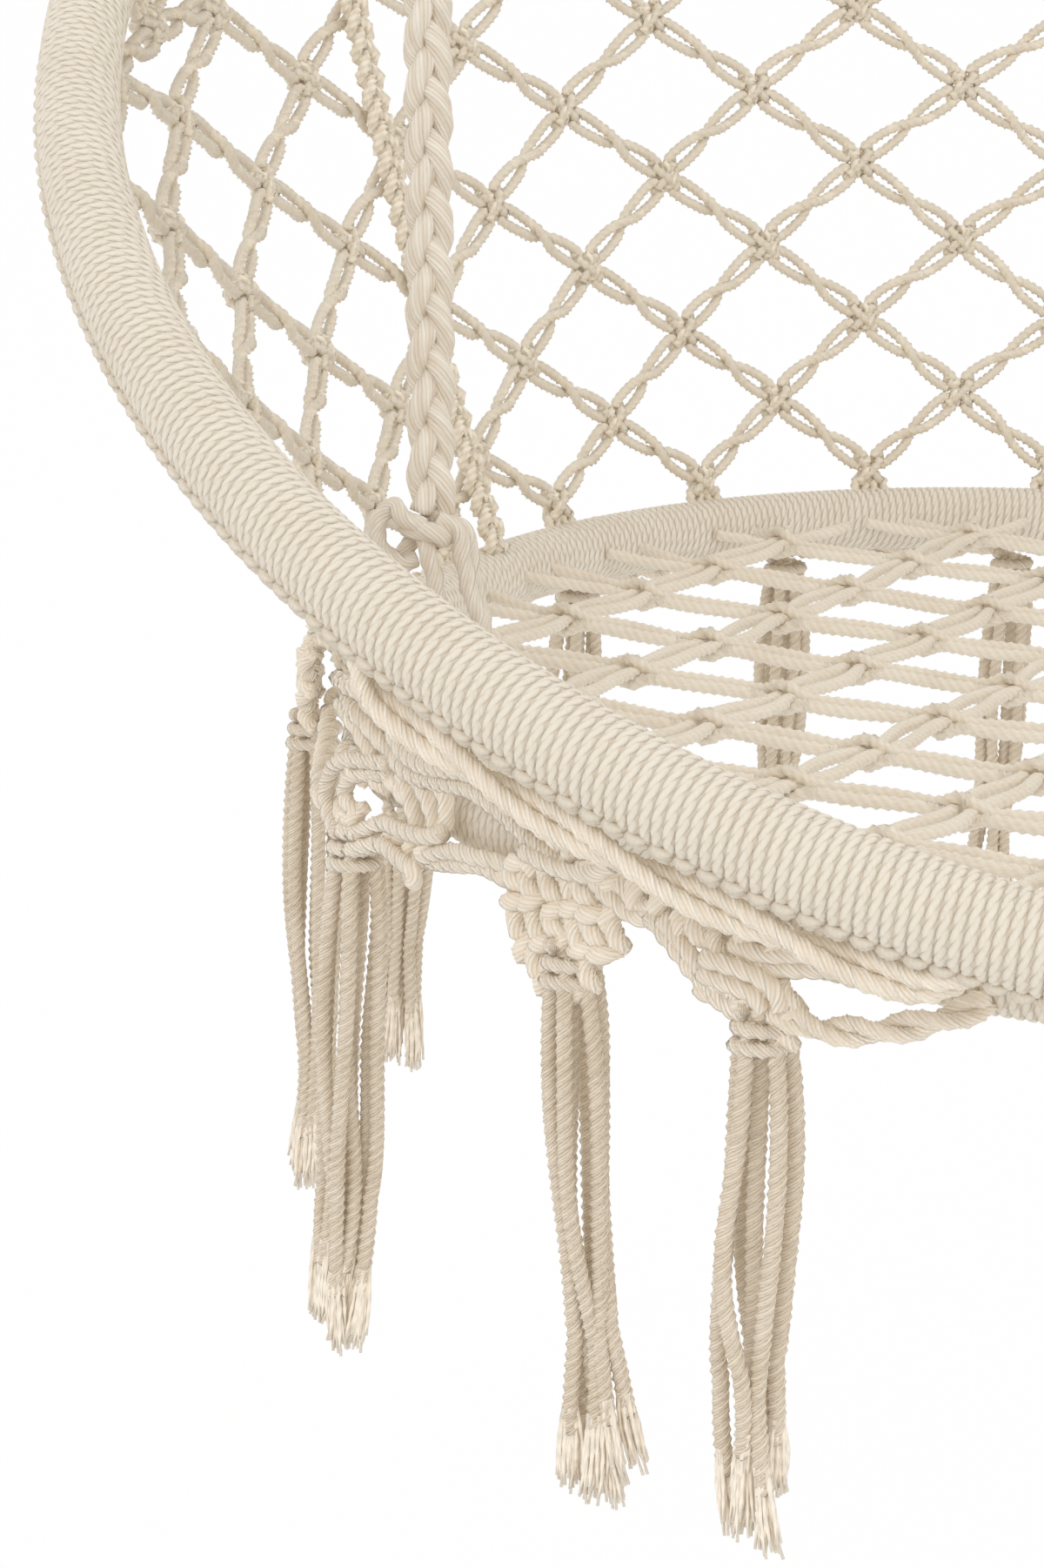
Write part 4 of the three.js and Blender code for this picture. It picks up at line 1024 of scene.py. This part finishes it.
def turnsRound(hoop, angle, turns, radius, cord):
    # a cord wound round the wrapped hoop, one turn beside the other
    t = np.linspace(0, 1, turns * 30)
    phi = 2 * np.pi * turns * t + np.pi / 2
    place = angle + (t - 0.5) * turns * 2 * cord / hoop["radius"]
    path = hoopPoint(hoop, place) + radius * turnedFrom(phi, outward(hoop, place), axisOf(hoop))
    return thickCord(path[None], cord, turnsOn["lay"])


# Cords of the left tie from its knot to the seat hoop, from the rope's foot on the hoop
tieCords = [
    [(6, 13, 70), (0, 13, 72), (-4, 16, 76), (-8, 17, 72)]
    + [(-9, 17, 65), (-6, 17, 60), (-1, 16, 57), (4, 17, 58)],
    [(6, 15, 66), (7.5, 13, 60), (10, 11, 50), (12, 7, 32), (10, 1, 12)],
    [(10, 15, 72), (17, 14, 68), (19, 13, 58), (22, 10, 46), (25, 7, 36), (20, 0, 8)],
    [(8, 20, 72), (20, 18, 67), (22, 16, 56), (24, 14, 46), (26, 10, 34), (22, 3, 8)],
    [(4, 22, 66), (-4, 18, 50), (-13, 10, 28), (-15, 2, 6)],
]


def ropeTie(sideName, side):
    angle = side * ropes["tieColumn"] * column
    foot = hoopPoint(seatHoop, np.array(angle))
    legs = np.stack([smooth(np.array(points) * [-side, 1, 1] + foot, 60) for points in tieCords])
    middle = onFrontRope(side, ropes["knotRise"] - turnsOn["knotDrop"]) + [side * turnsOn["knotAside"], 0, 0]
    knot = bandTurns(middle, unit(np.array([-0.35 * side, 0.3, 1.0])), **tieKnot)
    parts = [
        turnsRound(seatHoop, angle, turnsOn["tieTurns"], turnsOn["tieReach"], turnsOn["tieCord"]),
        thickCord(legs, turnsOn["legCord"], turnsOn["legLay"], turnsOn["depth"]),
        thickCord(knot[None], turnsOn["knotCord"], turnsOn["knotLay"], turnsOn["depth"]),
    ]
    meshPiece("ropeTie_" + sideName, parts, "rope", ["rope_tie_" + sideName])


def hitch(name, index, extra, replaces):
    values = turnsOn["hitchTurns"], turnsOn["hitchReach"], turnsOn["hitchCord"]
    meshPiece(name, [turnsRound(backHoop, index * column, *values)] + extra, "skirt", replaces)


for sideName, side in (("left", -1), ("right", 1)):
    ropeTie(sideName, side)
    around = bandTurns(onFrontRope(side, ropes["bridleRise"]), ropeWay, **collar)
    collarPart = thickCord(around[None], turnsOn["collarCord"], turnsOn["lay"])
    bridleIndex, rearIndex = side * ropes["bridleColumn"], side * ropes["rearColumn"]
    hitch("bridleHitch_" + sideName, bridleIndex, [collarPart], ["rope_bridle_" + sideName])
    hitch("rearHitch_" + sideName, rearIndex, [], ["rear_rope_" + sideName])
print("ties and hitches made")

# Braids in the back net
braids = {
    "angle": np.radians(52.5), "across": 5.0, "through": 1.5, "cord": 2.7, "repeat": 27.0, "inset": 9.6,
    "end": 14, "step": 1.6,
}


def netBraid(sideName, side):
    angle = np.array(side * braids["angle"])
    line = np.linalg.norm(hoopPoint(backHoop, angle) - hoopPoint(seatHoop, angle))
    share = np.linspace(braids["end"] / line, 1 - braids["end"] / line, int(line / braids["step"]))
    outwards = np.array([np.sin(angle), np.cos(angle), 0])
    middle = netPoint(np.full_like(share, angle), share) - outwards * braids["inset"]
    around = np.array([np.cos(angle), -np.sin(angle), 0])
    through = unit(np.cross(middle[-1] - middle[0], around))
    paths = braidStrands(middle, lengthAlong(middle[None])[0], around, through, braids)
    meshPiece("netBraid_" + sideName, [sweep(paths, braids["cord"], lay=8)], "net", ["net_braid_" + sideName])


netBraid("left", -1)
netBraid("right", 1)

# Lacing between the hoops at the front: a pair of cords in a zigzag, and a thick pair below the beads
lacing = {"cord": 2.3, "apart": 2.3, "stand": 17.0, "lay": 8, "points": 420}
runner = {
    "degrees": (127, 155), "points": 160, "turn": np.radians(-60), "reach": 21.0, "dive": 8,
    "diveOver": 14, "apart": 2.8, "repeat": 95, "cord": 3.2, "lay": 17, "depth": 0.22,
}


def frontLacing():
    start = net["lastColumn"] + 1
    k = np.arange(0, 4 * (chair["columns"] - start) + 1)
    angle = (start + k / 2) * column
    low, high = hoopPoint(seatHoop, angle), hoopPoint(backHoop, angle)
    stand = lacing["stand"] / np.linalg.norm(high - low, axis=-1)
    swing = np.maximum(0, 0.5 - stand) * np.cos(k / 2 * np.pi)
    middle = low + (high - low) * (0.5 + swing)[:, None]
    line = resample(smooth(middle, 600), lacing["points"])
    normal = unit(np.stack([line[:, 0], line[:, 1], np.zeros(len(line))], -1))
    beside = unit(np.cross(np.gradient(line, axis=0), normal))
    pair = np.stack([line + s * lacing["apart"] * (beside * 0.6 + normal * 0.8) for s in (-1, 1)])
    return sweep(pair, lacing["cord"], lay=lacing["lay"], sides=9)


def frontRunner(side):
    # a thick pair laid along the under side of the back hoop, below the beads
    angle = side * np.radians(np.linspace(*runner["degrees"], runner["points"]))
    way = turnedFrom(runner["turn"], outward(backHoop, angle), axisOf(backHoop))
    # its ends run in under the wraps' outside
    fromEnd = np.minimum(np.arange(runner["points"]), np.arange(runner["points"])[::-1])
    dive = 1 - fromEnd.clip(0, runner["diveOver"]) / runner["diveOver"]
    line = hoopPoint(backHoop, angle) + way * (runner["reach"] - runner["dive"] * dive**2)[:, None]
    pair = laidStrands(line, 2, runner["apart"], runner["repeat"])
    return thickCord(pair, runner["cord"], runner["lay"], runner["depth"])


meshPiece("frontLacing", [frontLacing(), frontRunner(-1), frontRunner(1)], "skirt", ["front_lacing"])

# Head: steel ring, an eye of cord served all along with fine turns, and the binding
head = {"ringRadius": 30.0, "wire": 5.0, "ringMiddle": -25.0, "eyeDrop": -55.0, "bindingTop": -89.3}
eye = {"reach": 13.6, "cord": 8.0, "leg": -36, "ridge": 1.1, "pitch": 3.6, "points": 400}
binding = {"height": 90, "radius": 22.6, "ridge": 1.4, "pitch": 4.0, "shoulder": 5, "least": 0.16}


def ringSurface():
    # torus in the x, z plane
    turn = np.arange(73) / 72 * 2 * np.pi
    phi = np.arange(25) / 24 * 2 * np.pi
    radial = np.stack([np.cos(turn), np.zeros(73), np.sin(turn)], -1)[:, None]
    tube = head["wire"] * turnedFrom(phi, radial, np.array([0, 1.0, 0]))
    points = radial * head["ringRadius"] + tube + np.array([0, 0, head["ringMiddle"]]) - chair["place"]
    uv = np.stack(np.broadcast_arrays(turn[:, None] * head["ringRadius"], phi * head["wire"]), -1)
    return sheetRound(points[:-1], uv, np.zeros((72, 25)))


def ropeEye():
    # thick cord round the ring's lower bar
    turn = np.linspace(0, np.pi, 60)
    arc = np.stack([np.zeros(60), -eye["reach"] * np.cos(turn), eye["reach"] * np.sin(turn)], -1)
    leg = np.stack([np.zeros(30), np.full(30, -eye["reach"]), np.linspace(eye["leg"], -0.5, 30)], -1)
    path = np.vstack([leg, arc[1:-1], (leg * [1, -1, 1])[::-1]])
    line = resample(path + np.array([0, 0, head["eyeDrop"]]) - chair["place"], eye["points"])
    s = lengthAlong(line[None])[0]
    ridged = eye["cord"] - eye["ridge"] + eye["ridge"] * np.abs(np.sin(np.pi * s / eye["pitch"])) ** 0.7
    return sweep(line[None], ridged[None], lay=1e9, sides=20, depth=0)


def topBinding():
    # a stack of whole turns of cord with rounded ends, radius and height one profile
    height, pitch = binding["height"], binding["pitch"]
    z = np.linspace(0, -height, 181)[:, None]
    rise = np.clip(np.minimum(-z, height + z) / binding["shoulder"], 0, 1)
    shoulder = np.sqrt(np.clip(1 - (1 - rise) ** 2, binding["least"], 1))
    turn = np.arange(65) / 64 * 2 * np.pi
    slant = -turn / (2 * np.pi) * pitch
    ridged = binding["radius"] + binding["ridge"] * np.abs(np.sin(np.pi * (z + slant) / pitch)) ** 0.7
    radius = ridged * shoulder
    top = head["bindingTop"]
    points = np.stack(np.broadcast_arrays(radius * np.cos(turn), radius * np.sin(turn), z + top), -1)
    uv = np.stack(np.broadcast_arrays(z + slant, turn * 24), -1)
    uv = np.concatenate([uv, uv[-1:]])
    return sheetRound(points - chair["place"], uv, np.zeros((181, 65)), closeRows=False)


meshPiece("hangingRing", [ringSurface()], "ring", ["hanging_ring"], body="ring")
meshPiece("ropeEye", [ropeEye()], "rope", ["ring_eye"])
meshPiece("topBinding", [topBinding()], "wrap", ["top_binding"])
for node in ("seat_hoop_tube", "seat_hoop_spigot", "back_hoop_tube", "back_hoop_spigot"):
    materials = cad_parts[node].data.materials
    if len(materials):
        materials[0] = finishes["tube"]
print("head made")

# Stage: pale floor and white surroundings, soft light from the upper left and front
stageValues = {
    "floorReach": 30.0, "floorHeight": -1.70, "floorWhite": 0.94, "world": 1.02,
    "lampTarget": (0, 0, -1.1),
}
lights = {
    "keyLight": {"place": (-1.6, -2.4, 1.2), "size": 2.2, "power": 19.0},
    "fillLight": {"place": (2.4, -1.6, -0.2), "size": 2.0, "power": 7.0},
}


def cameraShare(tree):
    # 1 for rays that the camera sees straight, in a reflection or through glass
    rays = addNode(tree, "ShaderNodeLightPath").outputs
    seen = addMath(tree, "MAXIMUM", rays["Is Camera Ray"], rays["Is Glossy Ray"])
    return addMath(tree, "MAXIMUM", seen, rays["Is Transmission Ray"])


def whiteSurround():
    world = bpy.data.worlds.new("studio")
    bpy.context.scene.world = world
    world.use_nodes = True
    tree = world.node_tree
    values = {"To Min": stageValues["world"], "To Max": 1.0, "Value": cameraShare(tree)}
    strength = addNode(tree, "ShaderNodeMapRange", values).outputs["Result"]
    feed(tree.nodes["Background"], {"Color": (1, 1, 1, 1), "Strength": strength})


def paleFloor():
    # a wide plane; part of what the camera sees of it is its own white, and the rest takes the shadow
    mesh = bpy.data.meshes.new("floor")
    reach, z = stageValues["floorReach"], stageValues["floorHeight"]
    corners = [(x * reach, y * reach, z) for x, y in ((-1, -1), (1, -1), (1, 1), (-1, 1))]
    mesh.from_pydata(corners, [], [(0, 1, 2, 3)])
    floor = bpy.data.objects.new("floor", mesh)
    bpy.context.scene.collection.objects.link(floor)
    material, node, math = newMaterial("floorWhite")
    tree = material.node_tree
    tree.nodes.remove(tree.nodes["Principled BSDF"])
    matt = node("ShaderNodeBsdfDiffuse", {"Color": (0.9, 0.9, 0.9, 1)}).outputs[0]
    white = node("ShaderNodeEmission", {"Strength": 1.0}).outputs[0]
    share = math("MULTIPLY", cameraShare(tree), stageValues["floorWhite"])
    mix = node("ShaderNodeMixShader", {"Fac": share, 1: matt, 2: white})
    feed(tree.nodes["Material Output"], {"Surface": mix.outputs[0]})
    mesh.materials.append(material)


def softLight(name, place, size, power):
    # a round lamp that points at a place just above the middle of the seat
    lamp = bpy.data.lights.new(name, "AREA")
    lamp.shape, lamp.size, lamp.energy = "DISK", size, power
    light = bpy.data.objects.new(name, lamp)
    light.location = place
    light.rotation_mode = "QUATERNION"
    target = Vector(stageValues["lampTarget"])
    light.rotation_quaternion = (target - Vector(place)).to_track_quat("-Z", "Y")
    bpy.context.scene.collection.objects.link(light)


whiteSurround()
paleFloor()
for name, values in lights.items():
    softLight(name, **values)
bpy.context.scene.view_settings.view_transform = "Standard"

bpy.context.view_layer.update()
total = sum(len(piece.data.loops) - 2 * len(piece.data.polygons) for piece in made)
print("pieces", len(made), "triangles", total)
